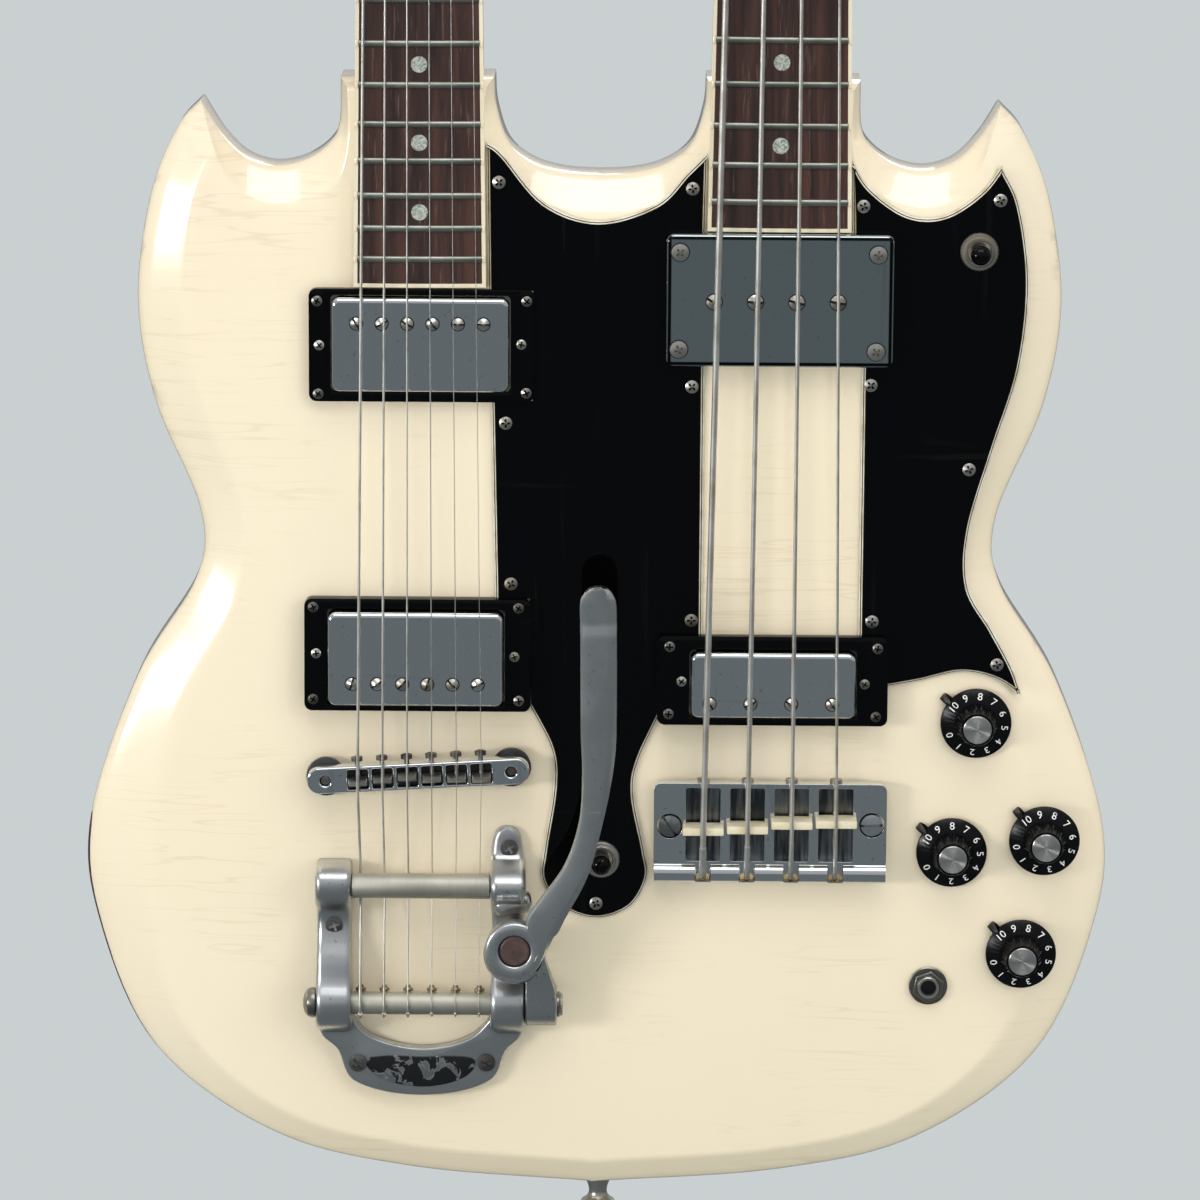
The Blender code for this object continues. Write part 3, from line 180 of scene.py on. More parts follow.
# Body: a slab of mahogany with two horns and three cutaways, its edges carved to a broad bevel.
# It is sprayed cream, yellowed with age, and polished; the lacquer is checked, and chipped at its edges.
OUTER_EDGE = [
    (0, -228, 0, -216), (75, -222, 73, -210), (131, -207.5, 126, -195.5),
    (178.5, -171.5, 165, -160.5), (201, -118, 178.5, -113), (203.5, -75, 177.5, -79),
    (184, -17.5, 165.5, -27), (160.5, 22, 144, 15), (158.5, 50, 141, 54), (176, 94, 158, 99),
    (182.6, 135, 163.6, 136), (177, 177, 160.5, 171), (166.5, 203, 155, 188), (157, 214.2, 151, 195),
]
CUTAWAY_EDGE = [
    (157, 214.2, 151, 195), (149, 201.5, 146, 185), (139.5, 192, 138.5, 177),
    (128, 188.4, 128, 173.4), (116, 190.8, 115, 176), (106.5, 197.5, 103, 184),
    (102.5, 206, 98.5, 202), (102, 223.8, 98.8, 220.6),
]
CROTCH_EDGE = [
    (41.5, 224.6, 44.8, 221), (40.5, 212, 46, 209), (35.5, 197.8, 43.5, 192), (25.5, 190, 31, 178.5),
    (13, 186.6, 15, 172), (0, 185.8, 0, 171),
]
EDGE_STEPS = 9
BODY_THICKNESS = 38
BEVEL_SECTION = [
    (0.47, 0), (0.40, 0.25), (0.30, 1.1), (0.15, 3.2), (0.06, 5.0), (0.0, 8.0), (0.0, 17), (0.0, 26.0),
    (0.02, 27.6), (0.07, 29.0), (0.15, 30.3), (0.35, 32.1), (0.6, 34.4), (0.84, 36.6), (0.94, 37.4),
    (1.02, 37.8), (1.12, 38),
]
LACQUER = (0.88, 0.765, 0.565)
LACQUER_YELLOW = (0.80, 0.64, 0.42)
DARK_EDGE_COLOUR = (0.05, 0.026, 0.024)
CHECK_COLOUR = (0.60, 0.45, 0.29)
RUBBED_LOW = -13.5 * MM
RUBBED_HIGH = -5.5 * MM
RUBBED_FADE = 4 * MM
DARK_STRETCH_LOW = -180 * MM
DARK_STRETCH_HIGH = -66 * MM
DARK_STRETCH_FADE = 12 * MM
DARK_STRETCH_DEPTHS = (-12.5 * MM, -9.5 * MM)
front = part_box("body")[0][1]
FACE = Matrix(((1, 0, 0, 0), (0, 0, -1, front), (0, 1, 0, 0), (0, 0, 0, 1)))


def smooth_run(points, steps):
    """A smooth run through points given in millimetres, any number of values each."""
    ends = [tuple(2 * a - b for a, b in zip(points[0], points[1])),
            tuple(2 * a - b for a, b in zip(points[-1], points[-2]))]
    padded = [ends[0], *points, ends[1]]
    run = []
    for before, start, end, after in zip(padded, padded[1:], padded[2:], padded[3:]):
        for step in range(steps):
            t = step / steps
            run.append(tuple(
                MM * 0.5 * (2 * b + (c - a) * t + (2 * a - 5 * b + 4 * c - d) * t ** 2
                            + (3 * b - a - 3 * c + d) * t ** 3)
                for a, b, c, d in zip(before, start, end, after)))
    run.append(tuple(MM * value for value in points[-1]))
    return run


def ring(shell, points):
    """A closed loop of edges through points."""
    corners = [shell.verts.new(point) for point in points]
    return [shell.edges.new(pair) for pair in zip(corners, corners[1:] + corners[:1])]


def skin_between(shell, rings):
    """Bridges each ring to the next and closes both ends."""
    for first, second in zip(rings, rings[1:]):
        bmesh.ops.bridge_loops(shell, edges=first + second)
    for end in (rings[0], rings[-1]):
        bmesh.ops.triangle_fill(shell, edges=end, use_beauty=True)
    bmesh.ops.recalc_face_normals(shell, faces=shell.faces)


def made(shell, name, looks, stands_for=None, body="root", place=FACE, sharp=32):
    """Finishes a piece: its place goes into its mesh, and it rides on its body, if it has one."""
    bmesh.ops.transform(shell, matrix=place, verts=shell.verts)
    data = bpy.data.meshes.new(name)
    shell.to_mesh(data)
    shell.free()
    for look in looks if isinstance(looks, tuple) else (looks,):
        data.materials.append(look)
    data.shade_smooth()
    data.set_sharp_from_angle(angle=math.radians(sharp))
    thing = put(name, data)
    if body:
        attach(thing, body)
    if stands_for:
        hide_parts(stands_for)
    return thing


def wire(shader, **values):
    """Feeds a shader's inputs from its pattern nodes."""
    for label, value in values.items():
        shader.id_data.links.new(value, shader.inputs[label.replace("_", " ")])


def blended(tree, mask, under, over):
    """One colour laid over another by a mask."""
    mix = add(tree, "Mix", {"data_type": "RGBA"})
    for index, value in ((0, mask), (6, under), (7, over)):
        if isinstance(value, bpy.types.NodeSocket):
            tree.links.new(value, mix.inputs[index])
        else:
            mix.inputs[index].default_value = (*value, 1) if index else value
    return mix.outputs[2]


def calc(tree, operation, *values):
    """One sum, on values or other nodes' outputs."""
    node = add(tree, "Math", {"operation": operation})
    for index, value in enumerate(values):
        if isinstance(value, bpy.types.NodeSocket):
            tree.links.new(value, node.inputs[index])
        else:
            node.inputs[index].default_value = value
    return node.outputs[0]


def band(tree, value, low, high, start=0.0, end=1.0):
    """A value stretched from one range to another and kept inside it."""
    return add(tree, "MapRange", Value=value, From_Min=low, From_Max=high,
               To_Min=start, To_Max=end).outputs["Result"]


def noise(tree, scale, stretch=(1, 1, 1), detail=4.0, roughness=0.55, distortion=0.0):
    """Noise on the piece's own coordinates, finer or coarser along each axis."""
    where = add(tree, "Mapping", Vector=add(tree, "TexCoord").outputs["Object"], Scale=stretch)
    return add(tree, "TexNoise", Vector=where.outputs[0], Scale=scale, Detail=detail,
               Roughness=roughness, Distortion=distortion).outputs["Fac"]


def bumped(tree, height, strength, depth):
    """Normals raised by a height pattern, whose full height is given in millimetres."""
    return add(tree, "Bump", Height=height, Strength=strength, Distance=depth * MM).outputs[0]


def painted(tree, layer):
    """A mask that is written into the mesh."""
    return add(tree, "Attribute", {"attribute_name": layer}).outputs["Fac"]


handling = bpy.data.node_groups.new("handling_marks", "ShaderNodeTree")
for label, way in (("Amount", "INPUT"), ("Smudge", "OUTPUT"), ("Scratch", "OUTPUT"), ("Pit", "OUTPUT")):
    handling.interface.new_socket(name=label, in_out=way, socket_type="NodeSocketFloat")
amount = handling.nodes.new("NodeGroupInput").outputs["Amount"]
marks_out = handling.nodes.new("NodeGroupOutput")
smudge = band(handling, noise(handling, 38, detail=5), 0.42, 0.68)
long_lines = noise(handling, 160, stretch=(1, 1, 0.06), detail=2, distortion=0.3)
cross_lines = noise(handling, 150, stretch=(0.07, 1, 1), detail=2, distortion=0.2)
scratch = calc(handling, "MAXIMUM", band(handling, long_lines, 0.66, 0.74),
               band(handling, cross_lines, 0.68, 0.76))
pit = band(handling, noise(handling, 620, detail=1), 0.70, 0.76)
for label, value in (("Smudge", smudge), ("Scratch", scratch), ("Pit", pit)):
    handling.links.new(calc(handling, "MULTIPLY", value, amount), marks_out.inputs[label])


def handled(tree, amount):
    """The marks that handling leaves on a material: smudges, scratches and pits."""
    return add(tree, "Group", {"node_tree": handling}, Amount=amount).outputs


def rim_mask(shell, name, worn):
    """Writes into each corner how strongly a pattern shows there, from 0 to 1."""
    layer = shell.verts.layers.float.new(name)
    for corner in shell.verts:
        corner[layer] = worn(corner.co)


def rubbed(place):
    """The edge is rubbed most where it turns into the side, and less towards the face."""
    if place.z < RUBBED_LOW:
        return max(0.0, 1 - (RUBBED_LOW - place.z) / RUBBED_FADE)
    return max(0.0, 1 - (place.z - RUBBED_LOW) / (RUBBED_HIGH - RUBBED_LOW))


def worn_bare(place):
    """A stretch of the left lower edge is coloured dark red-brown."""
    if place.x >= 0 or not DARK_STRETCH_DEPTHS[0] < place.z < DARK_STRETCH_DEPTHS[1]:
        return 0.0
    return max(0.0, min(1, (place.y - DARK_STRETCH_LOW) / DARK_STRETCH_FADE, (DARK_STRETCH_HIGH - place.y) / DARK_STRETCH_FADE))


cream, tree, shader = material("cream_lacquer", LACQUER, 0.22, coat=1.0)
edge = painted(tree, "edge")
cloud = band(tree, noise(tree, 7, detail=3), 0.35, 0.7)
aged = blended(tree, calc(tree, "MULTIPLY", cloud, 0.16), LACQUER, LACQUER_YELLOW)
yellow_rim = calc(tree, "MULTIPLY", edge, band(tree, noise(tree, 16), 0.3, 0.7, 0.1, 0.5))
aged = blended(tree, yellow_rim, aged, LACQUER_YELLOW)
checks = noise(tree, 22, stretch=(0.4, 0.4, 7), detail=2, roughness=0.6, distortion=0.3)
hairlines = band(tree, calc(tree, "ABSOLUTE", calc(tree, "SUBTRACT", checks, 0.5)), 0.022, 0.0)
check = calc(tree, "MULTIPLY", hairlines, band(tree, noise(tree, 13), 0.48, 0.62, 0.0, 0.30))
aged = blended(tree, check, aged, CHECK_COLOUR)
thinned = calc(tree, "MULTIPLY", edge, band(tree, noise(tree, 90, detail=6, roughness=0.7), 0.56, 0.60))
knocks = calc(tree, "MULTIPLY", edge, band(tree, noise(tree, 23, detail=2), 0.56, 0.62))
ragged = calc(tree, "ADD", painted(tree, "bare"), band(tree, noise(tree, 70), 0, 1, -0.25, 0.25))
chip_and_dark_stretch = calc(tree, "MAXIMUM", calc(tree, "MULTIPLY", thinned, knocks), band(tree, ragged, 0.55, 0.65))
grain = calc(tree, "MULTIPLY", noise(tree, 60, stretch=(1, 1, 0.25)), 0.12)
sunk = calc(tree, "ADD", calc(tree, "MULTIPLY", check, 0.5), chip_and_dark_stretch)
wire(shader, Base_Color=blended(tree, chip_and_dark_stretch, aged, DARK_EDGE_COLOUR),
     Roughness=calc(tree, "ADD", 0.16, calc(tree, "MULTIPLY", chip_and_dark_stretch, 0.5)),
     Coat_Weight=calc(tree, "SUBTRACT", 1.0, chip_and_dark_stretch),
     Normal=bumped(tree, calc(tree, "SUBTRACT", grain, sunk), 0.25, 0.15))

half = smooth_run(OUTER_EDGE, EDGE_STEPS)[:-1] + smooth_run(CUTAWAY_EDGE, EDGE_STEPS)
half += smooth_run(CROTCH_EDGE, EDGE_STEPS)
whole = half + [(-x, z, -crease_x, crease_z) for x, z, crease_x, crease_z in reversed(half[1:-1])]
body_shell = bmesh.new()
skin_between(body_shell, [
    ring(body_shell, [(x + (crease_x - x) * share, z + (crease_z - z) * share, height * MM + front)
                      for x, z, crease_x, crease_z in whole])
    for share, height in BEVEL_SECTION])
rim_mask(body_shell, "edge", rubbed)
rim_mask(body_shell, "bare", worn_bare)
made(body_shell, "lacquered_body", cream, "body", sharp=40)


# Necks: each is one length of mahogany glued into the body, D-shaped behind its board, with a head
# that tilts back at its end. Both lean outward a little and fall back towards their heads.
NECK_X = 70.4
NECK_X_AT_Z = 143
NECK_LEAN = math.radians(0.2)
BOARD_THICKNESS = 5.5
NUT_LENGTH = 5
GAP = 0.3
HEAD_TILT = math.radians(15)
HEAD_DEPTH = 15
HEAD_WEAR = 0.35
VENEER_THICKNESS = 1.2
HEEL_Z = 224.6
SHOULDER = 2
DEPTHS_FROM_HEEL = ((-20, 21), (0, 20.6), (14, 19.6), (40, 19), (120, 17.3))
DEPTHS_FROM_END = ((-60, 15.5), (-12, 15.8))
HEAD_ROOT = ((1, 16.5, 0.3, 0.9), (7, 16.6, 1.6, 0.75), (14, 15.6, 4.5, 0.55), (22, 13.6, 7.5, 0.4))
HEAD_ROOT_LOW = -0.4
NECKS = {
    "guitar": {
        "side": -1, "scale": 647.7, "bridge_z": -50, "end_z": 142.9, "end_h": 7,
        "pitch": math.radians(1.8), "nut_width": 42.5, "end_width": 52,
        "head": [(21.5, 0), (24, 9), (33, 30), (37, 50), (40, 155), (36, 178), (21, 189), (0, 192)],
    },
    "bass": {
        "side": 1, "scale": 774.7, "bridge_z": -66.6, "end_z": 165.7, "end_h": 6.4,
        "pitch": math.radians(1.3), "nut_width": 41.5, "end_width": 56.4,
        "head": [(21, 0), (24, 9), (36, 32), (42, 54), (46, 160), (41, 186), (24, 199), (0, 203)],
    },
}
BLACK_VENEER = (0.012, 0.012, 0.013)


def half_width(neck, y):
    """Half a neck's width, at a distance from the body end of its board."""
    share = min(y / neck["length"], 1.0)
    return (neck["end_width"] + (neck["nut_width"] - neck["end_width"]) * share) / 2


def at(x, y, h=0.0):
    """A place given in millimetres."""
    return Matrix.Translation((x * MM, y * MM, h * MM))


def rotated(angle, axis="Z"):
    """A turn about one axis, in radians."""
    return Matrix.Rotation(angle, 4, axis)


def rounded(shell, edges, radius, steps, clamp=True):
    """Rounds some edges of a shape to a radius in millimetres."""
    bmesh.ops.bevel(shell, geom=edges, offset=radius * MM, offset_type="OFFSET", segments=steps,
                    profile=0.5, affect="EDGES", material=-1, clamp_overlap=clamp)


def extruded(shell, faces, distance):
    """Draws faces out along Z by a distance in millimetres."""
    grown = bmesh.ops.extrude_face_region(shell, geom=faces)["geom"]
    bmesh.ops.translate(shell, verts=[item for item in grown if isinstance(item, bmesh.types.BMVert)],
                        vec=(0, 0, distance * MM))


def slab(outline, low, high, rim=0.0, rim_steps=3, both=False, holes=()):
    """An outline raised from low to high (mm), its top rims rounded, and its lower ones too if both."""
    shell = bmesh.new()
    loops = [edge for loop in (outline, *holes)
             for edge in ring(shell, [(x, y, low * MM) for x, y in loop])]
    bmesh.ops.triangle_fill(shell, use_beauty=True, use_dissolve=not holes, edges=loops)
    extruded(shell, shell.faces[:], high - low)
    bmesh.ops.recalc_face_normals(shell, faces=shell.faces)
    if rim:
        levels = (low * MM, high * MM) if both else (high * MM,)
        rims = [edge for edge in shell.edges if edge.calc_face_angle(0) > 0.9
                and any(all(abs(end.co.z - level) < 1e-7 for end in edge.verts) for level in levels)]
        rounded(shell, rims, rim, rim_steps)
    return shell


def stack(shell, extra, place=None):
    """Adds one shape to another and drops it."""
    if place is not None:
        bmesh.ops.transform(extra, matrix=place, verts=extra.verts)
    passing = bpy.data.meshes.new("passing")
    extra.to_mesh(passing)
    extra.free()
    shell.from_mesh(passing)
    bpy.data.meshes.remove(passing)


def neck_ring(half_x, depth, roundness, place, steps=20):
    """A ring that is flat in front and rounded behind, drawn in millimetres."""
    points = [(half_x, 0, 0)]
    for step in range(steps + 1):
        turn = math.pi * step / steps
        across = math.copysign(abs(math.cos(turn)) ** roundness[0], math.cos(turn))
        points.append((half_x * across, 0, -SHOULDER - (depth - SHOULDER) * math.sin(turn) ** roundness[1]))
    points.append((-half_x, 0, 0))
    return [place @ (Vector(point) * MM) for point in points]


for name, neck in NECKS.items():
    drift = (neck["end_z"] - NECK_X_AT_Z) * math.tan(NECK_LEAN)
    neck["place"] = (FACE @ at(neck["side"] * (NECK_X + drift), neck["end_z"], neck["end_h"])
                     @ rotated(-neck["side"] * NECK_LEAN) @ rotated(-neck["pitch"], "X"))
    neck["length"] = neck["bridge_z"] + neck["scale"] - neck["end_z"]
    under = -BOARD_THICKNESS - GAP
    end = neck["length"] + NUT_LENGTH + 2 * GAP
    tilt = at(0, end, under - VENEER_THICKNESS) @ rotated(-HEAD_TILT, "X")
    neck["head_place"] = neck["place"] @ tilt
    stations = [(HEEL_Z - neck["end_z"] + y, depth) for y, depth in DEPTHS_FROM_HEEL]
    stations += [(end + y, depth) for y, depth in DEPTHS_FROM_END]
    sections = [neck_ring(half_width(neck, y), depth, (1, 0.75), at(0, y, under)) for y, depth in stations]
    root_half = neck["head"][0][0]
    sections += [neck_ring(root_half + widen, depth, (square, square * 0.75),
                           tilt @ at(0, y, HEAD_ROOT_LOW))
                 for y, depth, widen, square in HEAD_ROOT]
    wood = bmesh.new()
    skin_between(wood, [ring(wood, points) for points in sections])
    made(wood, name + "_neck_wood", cream, name + "_neck", place=neck["place"], sharp=50)

    neck["head_outline"] = smooth_run(neck["head"] + [(-x, y) for x, y in reversed(neck["head"][:-1])], 8)
    plank = slab(neck["head_outline"], -HEAD_DEPTH, -VENEER_THICKNESS, rim=1.6, rim_steps=4, both=True)
    rim_mask(plank, "edge", lambda place: HEAD_WEAR)
    made(plank, name + "_head_wood", cream, place=neck["head_place"])

veneer, tree, shader = material("head_veneer", BLACK_VENEER, 0.14, coat=1.0)
marks = handled(tree, 0.6)
wire(shader, Roughness=band(tree, marks["Smudge"], 0, 1, 0.10, 0.26),
     Base_Color=blended(tree, marks["Scratch"], BLACK_VENEER, (0.06, 0.058, 0.055)))
for name, neck in NECKS.items():
    made(slab(neck["head_outline"], -VENEER_THICKNESS, 0, rim=0.5), name + "_head_veneer", veneer,
         place=neck["head_place"])


# Fingerboards: crowned rosewood, bound in cream, with pearl dots and nickel frets whose ends sit
# inside the binding. The bone nut is glued across the end of each board.
ROSEWOOD_DARK = (0.012, 0.006, 0.005)
ROSEWOOD_RED = (0.075, 0.030, 0.021)
FRET_NICKEL = (0.36, 0.37, 0.32)
PEARL_TONES = ((0.32, (0.13, 0.16, 0.15)), (0.66, (0.55, 0.56, 0.48)))
FRET_COUNT = 20
FRET_HALF_WIDTH = 1.35
FRET_HEIGHT = 1.0
FRET_END_HEIGHT = FRET_HEIGHT * 0.85
BINDING_WIDTH = 1.5
BINDING_TOP = 0.02
BOARD_CROWN = 305
DOT_RADIUS = 3.2
DOT_FRETS = (3, 5, 7, 9, 12, 15, 17, 19)
TWIN_DOTS = {12: (-12, 12)}
NUT_RISE = 1.6

rosewood, tree, shader = material("rosewood", ROSEWOOD_RED, 0.42)
long_grain = noise(tree, 190, stretch=(1, 1, 0.045), detail=6, roughness=0.65, distortion=0.6)
streak = band(tree, long_grain, 0.36, 0.62)
broad = band(tree, noise(tree, 90, stretch=(1, 1, 0.04), detail=2), 0.42, 0.62)
pores = band(tree, noise(tree, 900, stretch=(1, 1, 0.05), detail=2), 0.62, 0.70)
tone = blended(tree, streak, ROSEWOOD_DARK, ROSEWOOD_RED)
# Broad dark bands along the board: partly the wood's own streaks, partly painted shade standing for the
# strings' soft shadows.
tone = blended(tree, calc(tree, "MULTIPLY", broad, 0.7), tone, (0.016, 0.008, 0.007))
tone = blended(tree, calc(tree, "MULTIPLY", pores, 0.5), tone, (0.15, 0.085, 0.065))
wire(shader, Base_Color=tone, Roughness=band(tree, streak, 0, 1, 0.50, 0.34),
     Normal=bumped(tree, calc(tree, "SUBTRACT", streak, pores), 0.35, 0.12))


def stained(name, colour, stain, scale, low, high, most=1.0, roughness=0.35, metallic=0.0, coat=0.0,
            **pattern):
    """A material with patches of a second colour."""
    look, tree, shader = material(name, colour, roughness, metallic, coat)
    patches = band(tree, noise(tree, scale, **pattern), low, high, 0, most)
    wire(shader, Base_Color=blended(tree, patches, colour, stain))
    return look, tree, shader


def block(low, high, rim=0.0, rim_steps=2):
    """A box between two corners in millimetres, its edges rounded."""
    shell = bmesh.new()
    low, high = Vector(low) * MM, Vector(high) * MM
    bmesh.ops.create_cube(shell, size=1.0,
                          matrix=Matrix.Translation((high + low) / 2) @ Matrix.Diagonal((*(high - low), 1)))
    if rim:
        rounded(shell, shell.edges[:], rim, rim_steps)
    return shell


def bar(radius, low, high, sides=24, rim=0.0):
    """A round bar along Z, in millimetres, its end rims rounded."""
    shell = bmesh.new()
    bmesh.ops.create_cone(shell, cap_ends=True, segments=sides, radius1=radius * MM, radius2=radius * MM,
                          depth=(high - low) * MM, matrix=at(0, 0, (low + high) / 2))
    if rim:
        rims = [edge for edge in shell.edges if abs(edge.verts[0].co.z - edge.verts[1].co.z) < 1e-7]
        rounded(shell, rims, rim, 2)
    return shell


def cut_across(shell, distance, normal):
    """Cuts a whole shape along a plane, at a distance in millimetres from its middle."""
    bmesh.ops.bisect_plane(shell, geom=shell.verts[:] + shell.edges[:] + shell.faces[:],
                           plane_co=Vector(normal) * distance * MM, plane_no=normal)


def fall(x):
    """How far the board's crown has fallen beside its middle."""
    return x ** 2 / (2 * BOARD_CROWN)


def crowned(shell, half_at, cuts=8):
    """Widens a shape from 1 mm to the board's half width, and bends it to the board's crown."""
    for cut in range(1, cuts):
        cut_across(shell, 2 * cut / cuts - 1, (1, 0, 0))
    for corner in shell.verts:
        corner.co.x *= half_at(corner.co.y / MM)
        corner.co.z -= fall(corner.co.x / MM) * MM
    return shell


binding, tree, shader = stained("cream_binding", (0.78, 0.70, 0.52), (0.62, 0.47, 0.27), 90, 0.4, 0.75, 0.5,
                                roughness=0.25, coat=0.6, stretch=(1, 1, 0.2))
bone, tree, shader = stained("bone", (0.82, 0.77, 0.64), (0.60, 0.50, 0.33), 240, 0.45, 0.7, 0.5,
                             roughness=0.38, stretch=(0.3, 1, 1))
fret_metal, tree, shader = material("fret_nickel", FRET_NICKEL, 0.4, metallic=1.0)
marks = handled(tree, 1.0)
wire(shader, Base_Color=blended(tree, marks["Smudge"], FRET_NICKEL, (0.22, 0.235, 0.19)),
     Roughness=band(tree, marks["Scratch"], 0, 1, 0.38, 0.55))
pearl, tree, shader = material("pearl", (0.62, 0.64, 0.58), 0.22, coat=0.8)
swirl = add(tree, "ValToRGB", Fac=noise(tree, 420, detail=3, distortion=2.5))
for stop, (share, colour) in zip(swirl.color_ramp.elements, PEARL_TONES):
    stop.color = (*colour, 1)
    stop.position = share
wire(shader, Base_Color=swirl.outputs["Color"])

ALONG_X = rotated(math.radians(90), "Y")
for name, neck in NECKS.items():
    length = neck["length"]
    fret_at = [length - neck["scale"] * (1 - 2 ** (-fret / 12)) for fret in range(FRET_COUNT + 1)]

    def inner_half(y, neck=neck):
        return half_width(neck, max(y, 0)) - BINDING_WIDTH

    made(crowned(block((-1, BINDING_WIDTH, -BOARD_THICKNESS), (1, length, 0)), inner_half),
         name + "_rosewood_board", rosewood, name + "_fingerboard", place=neck["place"])

    edging = bmesh.new()
    for side in (-1, 1):
        strip = block((min(side, 0), 0, -BOARD_THICKNESS), (max(side, 0), length, BINDING_TOP))
        for corner in strip.verts:
            reach = 0.0 if abs(corner.co.x) < 0.5 * MM else BINDING_WIDTH
            corner.co.x = side * (inner_half(corner.co.y / MM) + reach) * MM
            corner.co.z -= fall(corner.co.x / MM) * MM if corner.co.z > 0 else 0
        stack(edging, strip)
        for y in fret_at[1:]:
            outer = half_width(neck, y)
            inner_x, outer_x = sorted((side * (outer - BINDING_WIDTH), side * outer))
            stack(edging, block((inner_x, y - FRET_HALF_WIDTH, -fall(outer)),
                                (outer_x, y + FRET_HALF_WIDTH, FRET_END_HEIGHT - fall(outer)),
                                rim=0.5, rim_steps=3))
    end_strip = block((-1, 0, -BOARD_THICKNESS), (1, BINDING_WIDTH, BINDING_TOP))
    stack(edging, crowned(end_strip, lambda y: inner_half(0)))
    made(edging, name + "_board_binding", binding, place=neck["place"])

    wires = bmesh.new()
    for y in fret_at[1:]:
        fret = bar(1, -1, 1, sides=20)
        squash = Matrix.Diagonal((1, FRET_HALF_WIDTH, FRET_HEIGHT, 1))
        bmesh.ops.transform(fret, matrix=at(0, y) @ squash @ ALONG_X, verts=fret.verts)
        stack(wires, crowned(fret, inner_half, cuts=6))
    made(wires, name + "_frets", fret_metal, place=neck["place"])

    dots = bmesh.new()
    for fret in DOT_FRETS:
        y = (fret_at[fret] + fret_at[fret - 1]) / 2
        for x in TWIN_DOTS.get(fret, (0,)):
            stack(dots, bar(DOT_RADIUS, -1, 0.04, sides=32), at(x, y, -fall(x)))
    made(dots, name + "_board_dots", pearl, place=neck["place"])

    nut_half = neck["nut_width"] / 2
    made(block((-nut_half, length + GAP, -BOARD_THICKNESS), (nut_half, length + GAP + NUT_LENGTH, NUT_RISE),
               rim=0.9, rim_steps=4), name + "_bone_nut", bone, name + "_nut", place=neck["place"])


# Pickguard: one sheet of black, white and black plies round both necks and the controls. Its cut
# edges slope, so that the plies show, and 13 crosshead screws hold it down.
GUARD_THICKNESS = 2.3
GUARD_PLIES = ((0, 0.3, 1), (0.1, 0.9, 1), (0.6, 1.2, 1), (0.95, 1.5, 0), (1.4, 1.95, 1), (1.6, 2.3, 0))
GUARD_RUNS = {
    "crotch": [(-44.6, 199.8), (-38, 195), (-21.5, 176), (-0.5, 169), (22, 175.7), (34, 188),
               (42.2, 196.2)],
    "horn": [(99, 193.4), (105.2, 183.3), (117.2, 173.9), (127.7, 171), (138.2, 173.3), (149.9, 181.9),
             (157.3, 191.8)],
    "side": [(157.3, 191.8), (164.8, 175.5), (169, 145), (165.9, 111.1), (156.4, 79), (147.5, 46.7),
             (147.3, 23.5), (157, 6.2), (165.5, -9.5), (169.5, -20.9)],
    "lower": [(169.5, -20.9), (158.4, -14), (144.7, -11.5), (129.2, -15.1), (114, -18)],
    "tongue": [(25.5, -29.5), (17, -49), (15.3, -63), (19.7, -85.4), (20.8, -97), (14, -109), (0, -114),
               (-14, -109), (-21.6, -98), (-21, -85.7), (-17.2, -60), (-18.4, -44), (-27.6, -25.5)],
}
GUARD_NOTCHES = {
    "bass_board": [(41.7, 165.1), (99.3, 165.1)],
    "bass_pickup": [(104.2, -18), (104.2, -0.9), (36.1, -0.9), (36.1, -28.6)],
    "guitar_rings": [(-28.2, 16), (-40.7, 16), (-42.5, 98.6), (-27.3, 98.6), (-27.3, 139.8),
                     (-43.8, 139.8)],
}
GUARD_WINDOWS = [(41.8, 103.8, 2.2, 112.2), (44.8, 97.2, 122.8, 154.2)]
SWITCH_PLACES = {"upper": (149.1, 157.9), "lower": (2.2, -89)}
SWITCH_WINDOW = 6.2
GUARD_SCREWS = [
    (-39.5, 184.1), (36.4, 182.1), (103.4, 175.6), (157, 178.3), (146.6, 71), (159.2, -7.9), (-36.6, 88.3),
    (-34.3, 23.5), (36.8, 103.4), (107.3, 104.5), (37.4, 9.2), (109.2, 9.2), (0.2, -107.3),
]
BLACK_PLASTIC = (0.0008, 0.0008, 0.001)

gloss_black, tree, shader = material("gloss_black_plastic", BLACK_PLASTIC, 0.08, ior=1.26)
marks = handled(tree, 0.2)
wire(shader, Roughness=band(tree, marks["Smudge"], 0, 1, 0.05, 0.17),
     Base_Color=blended(tree, marks["Scratch"], BLACK_PLASTIC, (0.012, 0.0115, 0.011)))
white_ply, tree, shader = stained("white_ply", (0.72, 0.68, 0.56), (0.50, 0.42, 0.27), 130, 0.4, 0.7)


def aged_metal(name, clean, tarnish_and_shade_colour):
    """Plated metal with a patchy tarnish, darkened in its crevices towards the same colour: partly tarnish,
    partly painted shade.
    """
    look, tree, shader = material(name, clean, 0.3, metallic=1.0)
    occlusion = add(tree, "AmbientOcclusion", {"samples": 4, "only_local": True}, Distance=0.9 * MM)
    crevice_tarnish_and_shade = band(tree, occlusion.outputs["AO"], 0.35, 0.85, 0.9, 0)
    tarnish_and_shade = calc(tree, "MAXIMUM", band(tree, handled(tree, 1.3)["Smudge"], 0.35, 0.9, 0, 0.7), crevice_tarnish_and_shade)
    wire(shader, Base_Color=blended(tree, tarnish_and_shade, clean, tarnish_and_shade_colour), Roughness=band(tree, tarnish_and_shade, 0, 1, 0.3, 0.6))
    return look


